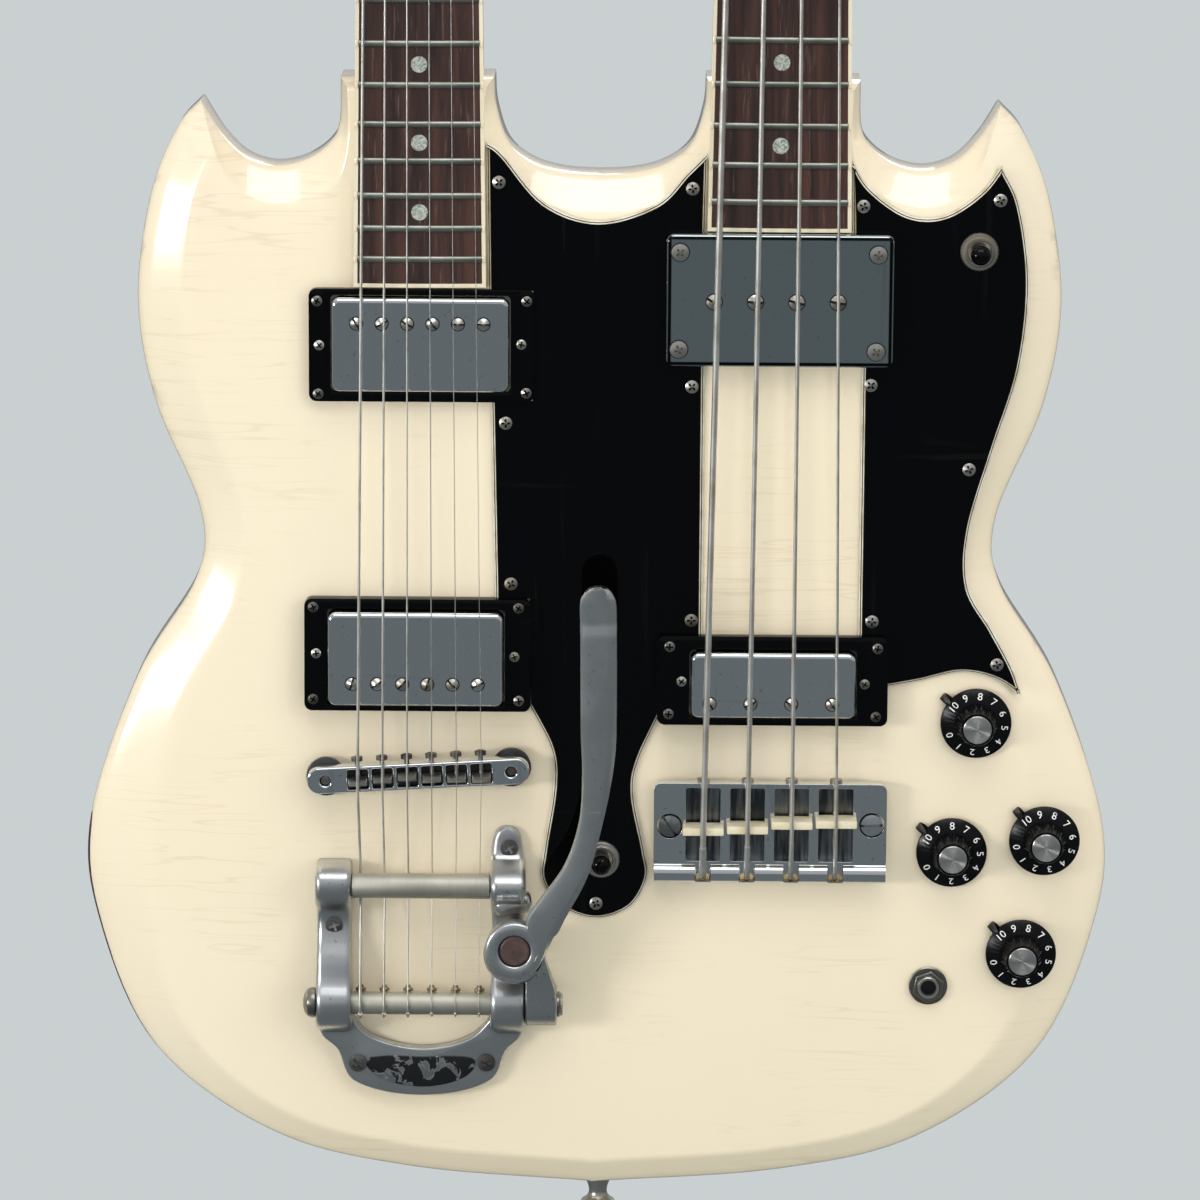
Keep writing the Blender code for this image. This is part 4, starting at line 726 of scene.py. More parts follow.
# The second colour is the tarnish and, in the crevices, painted shade; it is near black for the last three.
old_nickel = aged_metal("aged_nickel", (0.54, 0.52, 0.47), (0.24, 0.205, 0.15))
grimy_shaded_chrome = aged_metal("grimy_shaded_chrome", (0.60, 0.63, 0.64), (0.03, 0.03, 0.03))
nickel_painted_dark = aged_metal("nickel_painted_dark", (0.13, 0.13, 0.13), (0.03, 0.03, 0.03))
dull_nickel = aged_metal("dull_nickel", (0.27, 0.255, 0.23), (0.07, 0.06, 0.05))


def box_outline(left, right, bottom, top, corner, margin=0.0, steps=5):
    """A rounded rectangle from its four sides in millimetres."""
    left, right, bottom, top = left - margin, right + margin, bottom - margin, top + margin
    centres = [(right - corner, top - corner), (left + corner, top - corner),
               (left + corner, bottom + corner), (right - corner, bottom + corner)]
    return [(MM * (x + corner * math.cos((quarter + step / steps) * math.pi / 2)),
             MM * (y + corner * math.sin((quarter + step / steps) * math.pi / 2)))
            for quarter, (x, y) in enumerate(centres) for step in range(steps + 1)]


def disc_outline(x, y, radius, steps=24):
    """A circle from millimetres."""
    turns = [2 * math.pi * step / steps for step in range(steps)]
    return [((x + radius * math.cos(turn)) * MM, (y + radius * math.sin(turn)) * MM) for turn in turns]


def screw_head(radius, height, slots=2, width=0.32, reach=0.66, depth=0.75, dome=0.5):
    """A screw head along Z, in millimetres, with one slot or a cross cut into its domed top. The
    slot's width, reach and depth and the dome are shares of the head."""
    shell = bar(radius, 0, height, sides=20)
    for cut in (-width / 2, width / 2, -reach, reach, -0.83, 0.83):
        for normal in ((1, 0, 0), (0, 1, 0)):
            cut_across(shell, cut * radius, normal)
    for corner in shell.verts:
        if corner.co.z > height * MM / 2:
            corner.co.z -= dome * height * MM * (corner.co.xy.length / (radius * MM)) ** 2
    length = 1.1 if slots == 1 else reach

    def in_slot(middle):
        across, along = abs(middle.x) / (radius * MM), abs(middle.y) / (radius * MM)
        first = across < width / 2 and along < length
        return first or (slots == 2 and along < width / 2 and across < length)

    floor = [face for face in shell.faces if face.normal.z > 0.5 and in_slot(face.calc_center_median())]
    extruded(shell, floor, -depth * height)
    bmesh.ops.delete(shell, geom=floor, context="FACES")
    bmesh.ops.recalc_face_normals(shell, faces=shell.faces)
    return shell


def screws(name, places, radius, height, look, slot, seed, low=0.0, **cut):
    """Screw heads at places (mm), each turned its own way, at their own heights or else at low."""
    heads = bmesh.new()
    chance = random.Random(seed)
    for x, z, *own in places:
        stack(heads, screw_head(radius, height, **cut),
              at(x, z, own[0] if own else low) @ rotated(chance.uniform(0, math.pi)))
    return made(heads, name, look)


def metres(points):
    """Points given in millimetres."""
    return [(x * MM, y * MM) for x, y in points]


def moved_in(points, distance):
    """A closed outline moved to its left by a distance, mitred at its corners."""
    moved = []
    for before, here, after in zip(points[-1:] + points[:-1], points, points[1:] + points[:1]):
        first = (here - before).normalized()
        left = Vector((-first.y, first.x)) + Vector((-(after - here).y, (after - here).x)).normalized()
        left.normalize()
        moved.append(here + left * distance / max(left.dot(Vector((-first.y, first.x))), 0.4))
    return moved


guard_line = smooth_run(GUARD_RUNS["crotch"], 8)
guard_line += metres(GUARD_NOTCHES["bass_board"])
guard_line += smooth_run(GUARD_RUNS["horn"], 8) + smooth_run(GUARD_RUNS["side"], 8)[1:]
guard_line += smooth_run(GUARD_RUNS["lower"], 6)[1:]
guard_line += metres(GUARD_NOTCHES["bass_pickup"])
guard_line += smooth_run(GUARD_RUNS["tongue"], 8)
guard_line += metres(GUARD_NOTCHES["guitar_rings"])
windows = [box_outline(*window, corner=1, steps=4) for window in GUARD_WINDOWS]
windows += [disc_outline(x, y, SWITCH_WINDOW) for x, y in SWITCH_PLACES.values()]
guard = bmesh.new()
level_rings = []
for outline in (guard_line, *windows):
    outline = [Vector(point) for point in outline]
    area = sum(here.cross(after) for here, after in zip(outline, outline[1:] + outline[:1]))
    turn = 1 if (area > 0) == (outline[0] == Vector(guard_line[0])) else -1
    level_rings.append([
        ring(guard, [(*point, height * MM) for point in moved_in(outline, turn * inward * MM)])
        for inward, height, ply in GUARD_PLIES])
for rings in level_rings:
    for first, second, (inward, height, ply) in zip(rings, rings[1:], GUARD_PLIES[1:]):
        for face in bmesh.ops.bridge_loops(guard, edges=first + second)["faces"]:
            face.material_index = ply
for level in (0, -1):
    rims = [edge for rings in level_rings for edge in rings[level]]
    bmesh.ops.triangle_fill(guard, use_beauty=True, edges=rims)
bmesh.ops.recalc_face_normals(guard, faces=guard.faces)
made(guard, "pickguard_sheet", (gloss_black, white_ply), "pickguard", sharp=20)
screws("pickguard_screws", GUARD_SCREWS, 2.6, 1.5, old_nickel, "pickguard", 3, low=GUARD_THICKNESS - 0.3)


# Control cover: a flat black plate let into the back over the pots, held by four screws.
CAVITY_OUTLINE = [(128, -22), (166, -16), (190, -62), (186, -120), (160, -152), (122, -150), (126, -90)]
COVER_GROWTH = 5.4
COVER_THICKNESS = 2
COVER_SCREWS = [(131, -24), (184, -60), (158, -149), (125, -146)]
SATIN_BLACK_AND_SHADE = (0.012, 0.012, 0.013)
BACK = FACE @ at(0, 0, -BODY_THICKNESS)

satin_black_and_shade, tree, shader = material("satin_black_plate_and_shade", SATIN_BLACK_AND_SHADE, 0.36)
marks = handled(tree, 1.0)
wire(shader, Base_Color=blended(tree, marks["Scratch"], SATIN_BLACK_AND_SHADE, (0.05, 0.05, 0.048)),
     Roughness=band(tree, marks["Smudge"], 0, 1, 0.3, 0.5))

points = [Vector(point) for point in CAVITY_OUTLINE]
middle = sum(points, Vector((0, 0))) / len(points)
grown = [(point + (point - middle).normalized() * COVER_GROWTH) * MM for point in points]
cover = slab(grown, 0, COVER_THICKNESS)
corners = [edge for edge in cover.edges if abs(edge.verts[0].co.z - edge.verts[1].co.z) > 1 * MM]
rounded(cover, corners, 2.5, 5, clamp=False)
made(cover, "cavity_cover_plate", satin_black_and_shade, "control_cover", place=BACK)
cover_heads = bmesh.new()
for x, z in COVER_SCREWS:
    stack(cover_heads, screw_head(2.6, 1.3), at(x, z, 0.6) @ rotated(math.pi, "X"))
made(cover_heads, "cavity_cover_screws", old_nickel, place=BACK)


# Pickups: coils under polished metal covers, with slotted pole screws. Three sit in black plastic
# rings, and the wide one is screwed down through the corners of its cover.
CHROME = (0.70, 0.73, 0.75)
CHROME_PAINTED_DARKER = (0.44, 0.49, 0.49)
PLATING_WORN = (0.24, 0.23, 0.20)
RIM_REFLECTION = (0.012, 0.013, 0.014)
POLE_GAP = 0.45
COVER_CORNER = 3.2
COVER_ROUNDING = 1.9
RIM_INSET = 1.55 * MM
RIM_REACH = 0.9 * MM
PICKUP_LOW = -14
RING_CORNER = 3
RING_WINDOW_GAP = 0.5
RING_SCREW_SUNK = 0.45
PICKUPS = {
    "guitar_neck_pickup": {"sides": (-105.2, -35.2, 101.2, 138.8), "top": 8.0, "pole": 2.4,
                           "poles": [(-95.3 + 10 * step, 128.6) for step in range(6)]},
    "guitar_bridge_pickup": {"sides": (-106.9, -37.1, -24.7, 13.2), "top": 11.8, "pole": 2.4,
                             "poles": [(-97.2 + 10 * step, -15.6) for step in range(6)]},
    "bass_bridge_pickup": {"sides": (37.3, 103.0, -28.6, -2.1), "top": 11.8, "pole": 2.4,
                           "poles": [(44.9 + 16.2 * step, -22.6) for step in range(4)]},
    "bass_neck_pickup": {"sides": (26.1, 115.9, 112.2, 165.1), "top": 8.6, "pole": 3.0,
                         "poles": [(45.2 + 16.2 * step, 138.3) for step in range(4)]},
}
WIDE_COIL = (46, 96, 124, 153)
WIDE_COIL_TOP = 4
WIDE_PICKUP_SCREWS = [(31.7, 157.9), (109.3, 157.4), (31.4, 119.4), (108.9, 118.9)]
RINGS = {
    "guitar_neck_ring": {"sides": (-114.2, -25.5, 96.8, 141.7), "round": "guitar_neck_pickup", "low": 0.3,
                         "rear": 4.0, "front": 4.0,
                         "screws": [(-110.9, 136.8), (-28.4, 137.2), (-110.5, 99.8), (-28.5, 100.6)],
                         "height": [(-110.1, 119.2), (-30.5, 120)]},
    "guitar_bridge_ring": {"sides": (-116.3, -26.3, -27.4, 17.7), "round": "guitar_bridge_pickup",
                           "low": 0.3, "rear": 8.0, "front": 6.2,
                           "screws": [(-112.8, 14.3), (-31.2, 14.4), (-112.8, -22.8), (-31, -23)],
                           "height": [(-111.6, -4.3), (-32.8, -5.2)]},
    "bass_bridge_ring": {"sides": (24.1, 115.7, -32.2, 3.7), "round": "bass_bridge_pickup", "low": 2.6,
                         "rear": 8.0, "front": 6.8,
                         "screws": [(28.9, -0.6), (111.5, -0.8), (28.6, -27.8), (111.1, -28.4)],
                         "height": [(33.7, -14.6), (106.5, -15.2)]},
}


def plated(name, colour):
    """Bright plating, finely scratched and pitted, with a painted dark reflection along the rim where the
    mesh asks for one.
    """
    look, tree, shader = material(name, colour, 0.06, metallic=1.0)
    marks = handled(tree, 0.8)
    wear = calc(tree, "MAXIMUM", band(tree, marks["Pit"], 0, 1, 0, 0.6),
                band(tree, marks["Scratch"], 0, 1, 0, 0.3))
    rim = band(tree, painted(tree, "dark_rim"), 0.1, 0.45)
    smudged = band(tree, marks["Smudge"], 0, 1, 0.035, 0.08)
    wire(shader, Base_Color=blended(tree, rim, blended(tree, wear, colour, PLATING_WORN), RIM_REFLECTION),
         Roughness=calc(tree, "ADD", smudged, calc(tree, "MULTIPLY", wear, 0.3)))
    return look


def gap_rings(name, places, radius, top):
    """Black rings round screws (mm): painted shade, standing for the dark gaps that the screws sit in."""
    gaps = bmesh.new()
    for x, z in places:
        stack(gaps, bar(radius + POLE_GAP, top - 1, top + 0.03, sides=32), at(x, z))
    made(gaps, name, satin_black_and_shade)


chrome = plated("chrome", CHROME)
# A darker copy of the chrome for the wide cover: painted shade, for the darker look of its reflections.
chrome_painted_darker = plated("chrome_painted_darker", CHROME_PAINTED_DARKER)
for name, pickup in PICKUPS.items():
    top = pickup["top"]
    wide = name == "bass_neck_pickup"
    low = GUARD_THICKNESS + 0.3 if wide else PICKUP_LOW
    cover = slab(box_outline(*pickup["sides"], corner=COVER_CORNER), low, top, rim=COVER_ROUNDING,
                 rim_steps=5)
    for width in (0.4, 0.5):
        flat = [face for face in cover.faces if face.calc_center_median().z > top * MM - 1e-6]
        inner = max(flat, key=lambda face: face.calc_area())
        bmesh.ops.inset_region(cover, faces=[inner], thickness=width * MM, use_even_offset=False)
    left, right, bottom, upper = (side * MM for side in pickup["sides"])
    # Only the wide cover gets the painted dark reflection along its rim.
    rim_mask(cover, "dark_rim", lambda place: wide * max(0.0, 1 - abs(
        min(place.x - left, right - place.x, place.y - bottom, upper - place.y) - RIM_INSET) / RIM_REACH))
    made(cover, name + "_cover", chrome_painted_darker if wide else chrome, name, sharp=40)
    screws(name + "_poles", pickup["poles"], pickup["pole"], 1.9, old_nickel, "pickup_cover", len(name),
           low=top - 0.3, slots=1, width=0.34, dome=0.6)
    gap_rings(name + "_pole_gap_shade", pickup["poles"], pickup["pole"], top)
made(slab(box_outline(*WIDE_COIL, corner=2), PICKUP_LOW, WIDE_COIL_TOP), "bass_neck_pickup_coil",
     satin_black_and_shade)
wide_top = PICKUPS["bass_neck_pickup"]["top"]
screws("wide_pickup_screws", WIDE_PICKUP_SCREWS, 3.4, 1.6, old_nickel, "pickup_cover", 8,
       low=wide_top - 0.2, width=0.26, reach=0.5, dome=0.3)
gap_rings("wide_pickup_screw_gap_shade", WIDE_PICKUP_SCREWS, 3.4, wide_top)

for name, edge in RINGS.items():
    left, right, bottom, top = edge["sides"]
    slope = (edge["rear"] - edge["front"]) / (top - bottom)
    window = box_outline(*PICKUPS[edge["round"]]["sides"], corner=2, margin=RING_WINDOW_GAP)
    shell = slab(box_outline(*edge["sides"], corner=RING_CORNER), edge["low"], edge["rear"], rim=0.9,
                 holes=[window])
    for corner in shell.verts:
        if corner.co.z > edge["low"] * MM + 1e-6:
            corner.co.z -= (corner.co.y - bottom * MM) * slope
    made(shell, name + "_frame", gloss_black, name, sharp=24)
    for kind, radius, look in (("screws", 2.1, dull_nickel), ("height", 2.0, old_nickel)):
        places = [(x, z, edge["rear"] - (z - bottom) * slope - RING_SCREW_SUNK) for x, z in edge[kind]]
        screws(f"{name}_{kind}", places, radius, 1.3, look, "pickup_ring", name + kind)


# Guitar bridge: a plated bar on two threaded posts with knurled wheels. Six plated saddles sit in its
# slots, each drawn back by a screw whose head stands on the neck side.
BRIDGE_POSTS = [(-107.9, -55.2), (-33.9, -50.9)]
BRIDGE_LOW = 6.5
BRIDGE_HIGH = 12.6
BRIDGE_HALF_WIDTH = 5.3
BRIDGE_OVERHANG = 7.2
POST_LOW = -14
POST_RADIUS = 3
POST_TOP_RADIUS = 1.9
POST_HOLE = 2.2
POCKET_HALF_X = 4.1
POCKET_HALF_Y = 3.9
POCKET_SHADE_END = 12
POCKET_SHADE_HALF_WIDTH = 4.6
WHEEL_LOW = 3
WHEEL_HIGH = 4.8
WHEEL_RADII = (8.0, 7.72)
WHEEL_POINTS = 96
GUITAR_SADDLES = [(-94.8, -55.6), (-84.96, -54.4), (-75.12, -53.3), (-65.28, -53.7), (-55.44, -53.6),
                  (-45.6, -53.4)]
SADDLE_TOP = 16.4
SADDLE_HEIGHT = 6.6
SADDLE_HALF_LENGTH = 3.7
SADDLE_PROFILE = [(-1.7, 0), (1.7, 0), (1.7, 4), (0.5, 6.6), (-0.5, 6.6), (-1.7, 4)]
GUITAR_GAUGES = [1.17, 0.91, 0.66, 0.43, 0.33, 0.25]
BRASS = (0.42, 0.32, 0.17)
STRING_CLEARANCE = 0.03

brass, tree, shader = material("old_brass", BRASS, 0.32, metallic=1.0)
marks = handled(tree, 1.2)
wire(shader, Base_Color=blended(tree, marks["Smudge"], BRASS, (0.24, 0.16, 0.08)),
     Roughness=band(tree, marks["Smudge"], 0, 1, 0.25, 0.55))

first_post, last_post = (Vector((*place, 0)) for place in BRIDGE_POSTS)
span = last_post - first_post
reach = span.length / 2
BRIDGE = FACE @ at(*((first_post + last_post) / 2)) @ rotated(math.atan2(span.y, span.x))
saddle_spots = [(BRIDGE.inverted() @ FACE @ (Vector((x, z, 0)) * MM)).xy / MM for x, z in GUITAR_SADDLES]
bar_half = reach + BRIDGE_OVERHANG
pockets = [box_outline(spot.x - POCKET_HALF_X, spot.x + POCKET_HALF_X, -POCKET_HALF_Y, POCKET_HALF_Y,
                       corner=0.6, steps=2) for spot in saddle_spots]
pockets += [disc_outline(side * reach, 0, POST_HOLE) for side in (-1, 1)]
made(slab(box_outline(-bar_half, bar_half, -BRIDGE_HALF_WIDTH, BRIDGE_HALF_WIDTH, corner=5, steps=10),
          BRIDGE_LOW, BRIDGE_HIGH, rim=0.7, rim_steps=4, holes=pockets),
     "bridge_bar", chrome, "guitar_bridge", place=BRIDGE)
# A black slab low in the bar, seen through the saddle pockets: painted shade for the dark inside of the
# bar.
pocket_shade_half = bar_half - POCKET_SHADE_END
pocket_shade = box_outline(-pocket_shade_half, pocket_shade_half, -POCKET_SHADE_HALF_WIDTH, POCKET_SHADE_HALF_WIDTH, corner=2)
made(slab(pocket_shade, BRIDGE_LOW - 0.4, BRIDGE_LOW + 1.6), "bridge_bar_pocket_shade", satin_black_and_shade,
     place=BRIDGE)

posts = bmesh.new()
wheels = bmesh.new()
knurls = []
for step in range(WHEEL_POINTS):
    turn = 2 * math.pi * step / WHEEL_POINTS
    radius = WHEEL_RADII[step % 2] * MM
    knurls.append((radius * math.cos(turn), radius * math.sin(turn)))
for side in (-1, 1):
    place = at(side * reach, 0)
    stack(posts, bar(POST_RADIUS, POST_LOW, BRIDGE_LOW, rim=0.3), place)
    stack(posts, bar(POST_TOP_RADIUS, BRIDGE_LOW - 1, BRIDGE_HIGH - 1.6, rim=0.4), place)
    stack(wheels, slab(knurls, WHEEL_LOW, WHEEL_HIGH, rim=0.25, rim_steps=2), place)
made(posts, "bridge_posts", dull_nickel, place=BRIDGE)
# The wheels' near-black metal colour is painted: it stands for the shade and the dark reflections on plated
# wheels.
made(wheels, "bridge_wheels", nickel_painted_dark, place=BRIDGE)

# A profile drawn flat is stood up along X by this turn.
ALONG_BAR = Matrix(((0, 0, 1, 0), (1, 0, 0, 0), (0, 1, 0, 0), (0, 0, 0, 1)))
saddles = bmesh.new()
saddle_screws = bmesh.new()
for spot, gauge in zip(saddle_spots, GUITAR_GAUGES):
    top = SADDLE_TOP - gauge / 2 - STRING_CLEARANCE
    roof = slab(metres(SADDLE_PROFILE), -SADDLE_HALF_LENGTH, SADDLE_HALF_LENGTH, rim=0.3, both=True)
    stack(saddles, roof, at(spot.x, spot.y, top - SADDLE_HEIGHT) @ ALONG_BAR)
    backward = at(spot.x, 0, BRIDGE_HIGH - 2.6) @ rotated(math.radians(-90), "X")
    stack(saddle_screws, bar(1.0, -4.5, 7.2, sides=14), backward)
    stack(saddle_screws, screw_head(2.3, 2.1, slots=1, width=0.3, dome=0.25),
          backward @ at(0, 0, 7.1) @ rotated(spot.x * 0.9))
made(saddles, "guitar_saddles", old_nickel, place=BRIDGE)
made(saddle_screws, "guitar_saddle_screws", dull_nickel, place=BRIDGE)


# Bass bridge: a heavy plated block held by two slotted studs. Nylon saddles slide in four windows
# on long screws, and the strings start in notches in the rolled lip behind them.
BASS_PLATE = (23.1, 116.1, -91, -56.1)
BASS_PLATE_LOW = 2
BASS_PLATE_HIGH = 8
LIP_Z = -93
LIP_RADIUS = 4
LIP_H = 6.5
NOTCH_H = 7.1
BASS_SADDLES = [(42.8, -74.4), (60.47, -73.6), (78.13, -71.5), (95.8, -70.9)]
BASS_SADDLE_TOP = 16.2
BASS_SADDLE_HALF = (8.2, 1.6)
BASS_SADDLE_LOW = 4.6
BASS_SCREW_H = 5.6
BASS_WINDOW_HALF = 6.9
BASS_WINDOW_ENDS = (-88, -58)
BASS_WELL_ENDS = (-89.5, -57.2)
BASS_GAUGES = [2.5, 2.0, 1.6, 1.14]
BASS_STUDS = [(29.5, -73.7), (110.2, -72.8)]
BASS_STUD_SLOTS = (35, 92)
BASS_STUD_HOLE = 5.1

plating_painted_dark, tree, shader = stained("plating_painted_dark", (0.06, 0.065, 0.07), (0.24, 0.25, 0.255), 420, 0.4,
                                     0.62, roughness=0.28, metallic=1.0, stretch=(1, 1, 0.09), detail=3)
nylon, tree, shader = stained("ivory_nylon", (0.74, 0.67, 0.49), (0.60, 0.48, 0.27), 160, 0.4, 0.7, 0.6,
                              roughness=0.42)
shader.inputs["Subsurface Weight"].default_value = 0.12
shader.inputs["Subsurface Radius"].default_value = (0.002, 0.0015, 0.001)
shader.inputs["Subsurface Scale"].default_value = 0.5

left, right, bottom, top = BASS_PLATE
windows = [box_outline(x - BASS_WINDOW_HALF, x + BASS_WINDOW_HALF, *BASS_WINDOW_ENDS, corner=0.8, steps=3)
           for x, z in BASS_SADDLES]
windows += [disc_outline(x, z, BASS_STUD_HOLE, steps=32) for x, z in BASS_STUDS]
plate = box_outline(*BASS_PLATE, corner=3)
made(slab(plate, BASS_PLATE_LOW, BASS_PLATE_HIGH, rim=0.8, rim_steps=4, holes=windows), "bass_bridge_plate",
     chrome, "bass_bridge")
# A near-black floor under the windows: painted shade for the dark inside of the bridge.
well = box_outline(left + 4, right - 4, *BASS_WELL_ENDS, corner=2)
made(slab(well, BASS_PLATE_LOW - 0.8, BASS_PLATE_LOW + 0.4), "bass_bridge_well_shade", plating_painted_dark)

lip_profile = [(LIP_Z + LIP_RADIUS * math.cos(turn), LIP_H + LIP_RADIUS * math.sin(turn))
               for turn in (math.radians(step * 15) for step in range(24))]
cuts = [(left + 0.2, False)]
for x, z in BASS_SADDLES:
    cuts += [(x - 3.2, False)] * 2 + [(x - 2.6, True), (x + 2.6, True)] + [(x + 3.2, False)] * 2
cuts += [(right - 0.2, False)]
lip = bmesh.new()
skin_between(lip, [ring(lip, [ALONG_BAR @ Vector((y, min(h, NOTCH_H) if notched else h, x)) * MM
                              for y, h in lip_profile]) for x, notched in cuts])
bmesh.ops.remove_doubles(lip, verts=lip.verts, dist=1e-6)
made(lip, "bass_bridge_lip", chrome, sharp=40)

saddles = bmesh.new()
saddle_screws = bmesh.new()
ball_ends = bmesh.new()
for (x, z), gauge in zip(BASS_SADDLES, BASS_GAUGES):
    top = BASS_SADDLE_TOP - gauge / 2 - STRING_CLEARANCE
    half_x, half_y = BASS_SADDLE_HALF
    stack(saddles, block((-half_x, -half_y, BASS_SADDLE_LOW), (half_x, half_y, top), rim=0.5), at(x, z))
    along = at(x, 0, BASS_SCREW_H) @ rotated(math.radians(-90), "X")
    stack(saddle_screws, bar(1.2, -90, -57, sides=14), along)
    stack(saddle_screws, screw_head(2.5, 2.4, slots=1, width=0.3, dome=0.2),
          along @ at(0, 0, -56.4) @ rotated(x * 3))
    collar = bmesh.new()
    bmesh.ops.create_circle(collar, segments=12, radius=0.85 * MM,
                            matrix=at(2.0, 0) @ rotated(math.pi, "Y"))
    bmesh.ops.spin(collar, geom=collar.verts[:] + collar.edges[:], axis=(0, 0, 1), cent=(0, 0, 0), steps=20,
                   angle=2 * math.pi, use_merge=True)
    bmesh.ops.recalc_face_normals(collar, faces=collar.faces)
    stack(ball_ends, collar, at(x, -95.4, 9.4) @ rotated(math.radians(62), "X"))
made(saddles, "bass_saddles", nylon)
made(saddle_screws, "bass_saddle_screws", old_nickel)
made(ball_ends, "bass_ball_ends", brass)
studs = bmesh.new()
for (x, z), slot_turn in zip(BASS_STUDS, BASS_STUD_SLOTS):
    stack(studs, bar(3, POST_LOW, BASS_PLATE_HIGH), at(x, z))
    stack(studs, screw_head(4.4, 2.2, slots=1, width=0.22, dome=0.2),
          at(x, z, BASS_PLATE_HIGH - 1.4) @ rotated(math.radians(slot_turn)))
# The studs' chrome darkens nearly to black in slots and crevices, which is painted shade, and in smudges,
# which are dirt.
made(studs, "bass_bridge_studs", grimy_shaded_chrome)


# Vibrato: a cast and buffed horseshoe screwed to the top. A hold-down bar rolls between its legs,
# and a pinned string bar, rocked by the long arm against a spring, turns in the knuckles below.
BARS_H = 11
ROLLER_Z = -98.4
STRING_BAR_Z = -147
STRING_BAR = FACE @ at(0, STRING_BAR_Z, BARS_H)
FRAME_LOW = 0.3
HORSESHOE_TOP = 5.6
EAR_PLACE = (-33, -105.4, 10.3)
EAR_TURN = math.radians(8)
EAR_RADIUS = 4.6
EAR_HALF_LENGTH = 7.6
ROLLER_RADIUS = 5
ROLLER_ENDS = (-97.3, -42.2)
ROLLER_SHAFT_RADIUS = 2.6
ROLLER_SHAFT_ENDS = (-103.6, -35.9)
STRING_BAR_RADIUS = 4.55
STRING_BAR_ENDS = (-114.7, -12.9)
LEG_ROUNDING = 2.4
LEG_STATIONS = {
    "left_leg": [
        (-161.5, -109.5, -99.5, 4.6), (-159.5, -111.2, -98.0, 8), (-156.5, -112.0, -97.6, 13.6),
        (-151, -112.0, -97.6, 17.4), (-144, -112.0, -97.6, 17.4), (-138, -111.8, -97.8, 14.2),
        (-129, -111.7, -97.9, 12.4), (-121, -111.6, -98.0, 9), (-112.5, -111.7, -97.9, 7.6),
        (-108.5, -111.8, -97.7, 9.6), (-105.5, -112.0, -97.6, 13.8), (-101, -112.0, -97.6, 17.3),
        (-94.5, -112.0, -97.6, 17.0), (-91.3, -111.7, -97.9, 13.4), (-90, -110.6, -98.8, 9),
    ],
    "right_leg": [
        (-161.5, -39.5, -30.5, 4.6), (-159.5, -41.2, -28.6, 8), (-156.5, -41.9, -27.9, 13.6),
        (-151, -41.9, -27.9, 17.4), (-144, -41.9, -27.9, 17.4), (-137.5, -41.9, -28.0, 13),
        (-131, -41.6, -28.4, 7.6), (-121, -41.3, -28.6, 7.1), (-111, -41.6, -28.4, 7.6),
        (-107, -41.9, -28.0, 12.2), (-102, -41.9, -27.9, 17.1), (-95.5, -41.9, -27.9, 17.1),
        (-91, -41.9, -28.2, 11.4), (-88, -41.8, -28.8, 5.6), (-83, -41.5, -29.6, 4.3),
        (-79.2, -40.6, -30.5, 4.1), (-77, -39.2, -31.9, 3.9), (-75.8, -37.0, -34.2, 3.6),
    ],
}
HORSESHOE_OUTER = [
    (-28.3, -157), (-30.5, -163), (-36, -168.5), (-39.5, -178), (-45, -182.5), (-56, -186), (-70, -187.3),
    (-84, -186), (-95, -182.5), (-100, -178), (-103.5, -168.5), (-109.5, -163), (-111.6, -157),
]
HORSESHOE_INNER = [
    (-98, -154), (-92, -161.2), (-82, -165.5), (-69.5, -167.3), (-57, -165.5), (-48, -161.2), (-41.5, -154),
]
PLAQUE = [(-90.5, -171.2), (-82, -170.4), (-69.5, -170.8), (-57.5, -170.4), (-49.5, -171.2), (-48, -174.5),
          (-51.5, -178.8), (-59.5, -182.2), (-69.5, -183.5), (-80, -182.2), (-88.5, -178.8), (-92, -174.5)]
VIBRATO_SCREWS = [(-104.7, -115.9, 7.2), (-34.6, -84.3, 4.0), (-95.4, -173.7, 5.3), (-43.6, -173.2, 5.3)]
PIN_MIDDLE = -70.2
PIN_SPREAD = 47.6
PIN_PLACES = [PIN_MIDDLE + (index / 5 - 0.5) * PIN_SPREAD for index in range(6)]
PIN_DROP = math.radians(15)
ARM_EYE = Vector((-31.95, -119.9))
EYE_RADIUS = 11.6
SEAT_MIDDLE = Vector((-32.1, -123.4))
SEAT_RADIUS = 12.4
BOLT_RADIUS = 6.2
ARM_TOP = 31
ARM_THICK = 4
ARM_RISE = 6
ARM_CREASE_Z = 12
ARM_CREASE = 0.7
ARM_LINE = [
    (-23, -124.3, 1.6), (-21.5, -120.9, 2.1), (-21.4, -116.4, 4.2), (-21.4, -112.6, 6.1),
    (-20.2, -108.6, 6.9), (-16.8, -102.6, 6.4), (-7.6, -86.9, 5.2), (-2, -67.9, 4.7),
    (0.6, -47.8, 6), (1.1, -28, 7.1), (0.9, 8, 7.2), (0.6, 22, 7.15), (0.6, 25.9, 5.9), (0.6, 28.3, 4),
    (0.6, 29.5, 1.2),
]
ARM_SECTION = [(-1, -4), (-1, -1.3), (-0.88, -0.35), (-0.6, 0), (0.42, 0), (0.6, -0.12), (0.97, -1.5),
               (1, -4)]
BRACKET_LINE = [
    (-155.5, 9), (-155, 14), (-151, 17.8), (-145, 19), (-139, 19.8), (-134, 22), (-130, 23.2), (-120, 23.2),
    (-109.6, 23.2), (-109, 22.6), (-109, 19.8), (-109.8, 19.2), (-120, 19.2), (-126, 18.6), (-131, 15.6),
    (-136, 11), (-140, 5.6), (-144, 3.8), (-150, 3.9), (-154, 5.6),
]
BRACKET_ENDS = (-27.6, -15.2)
BRACKET_MIDDLE = -21.4
BRACKET_BEND_Z = -141
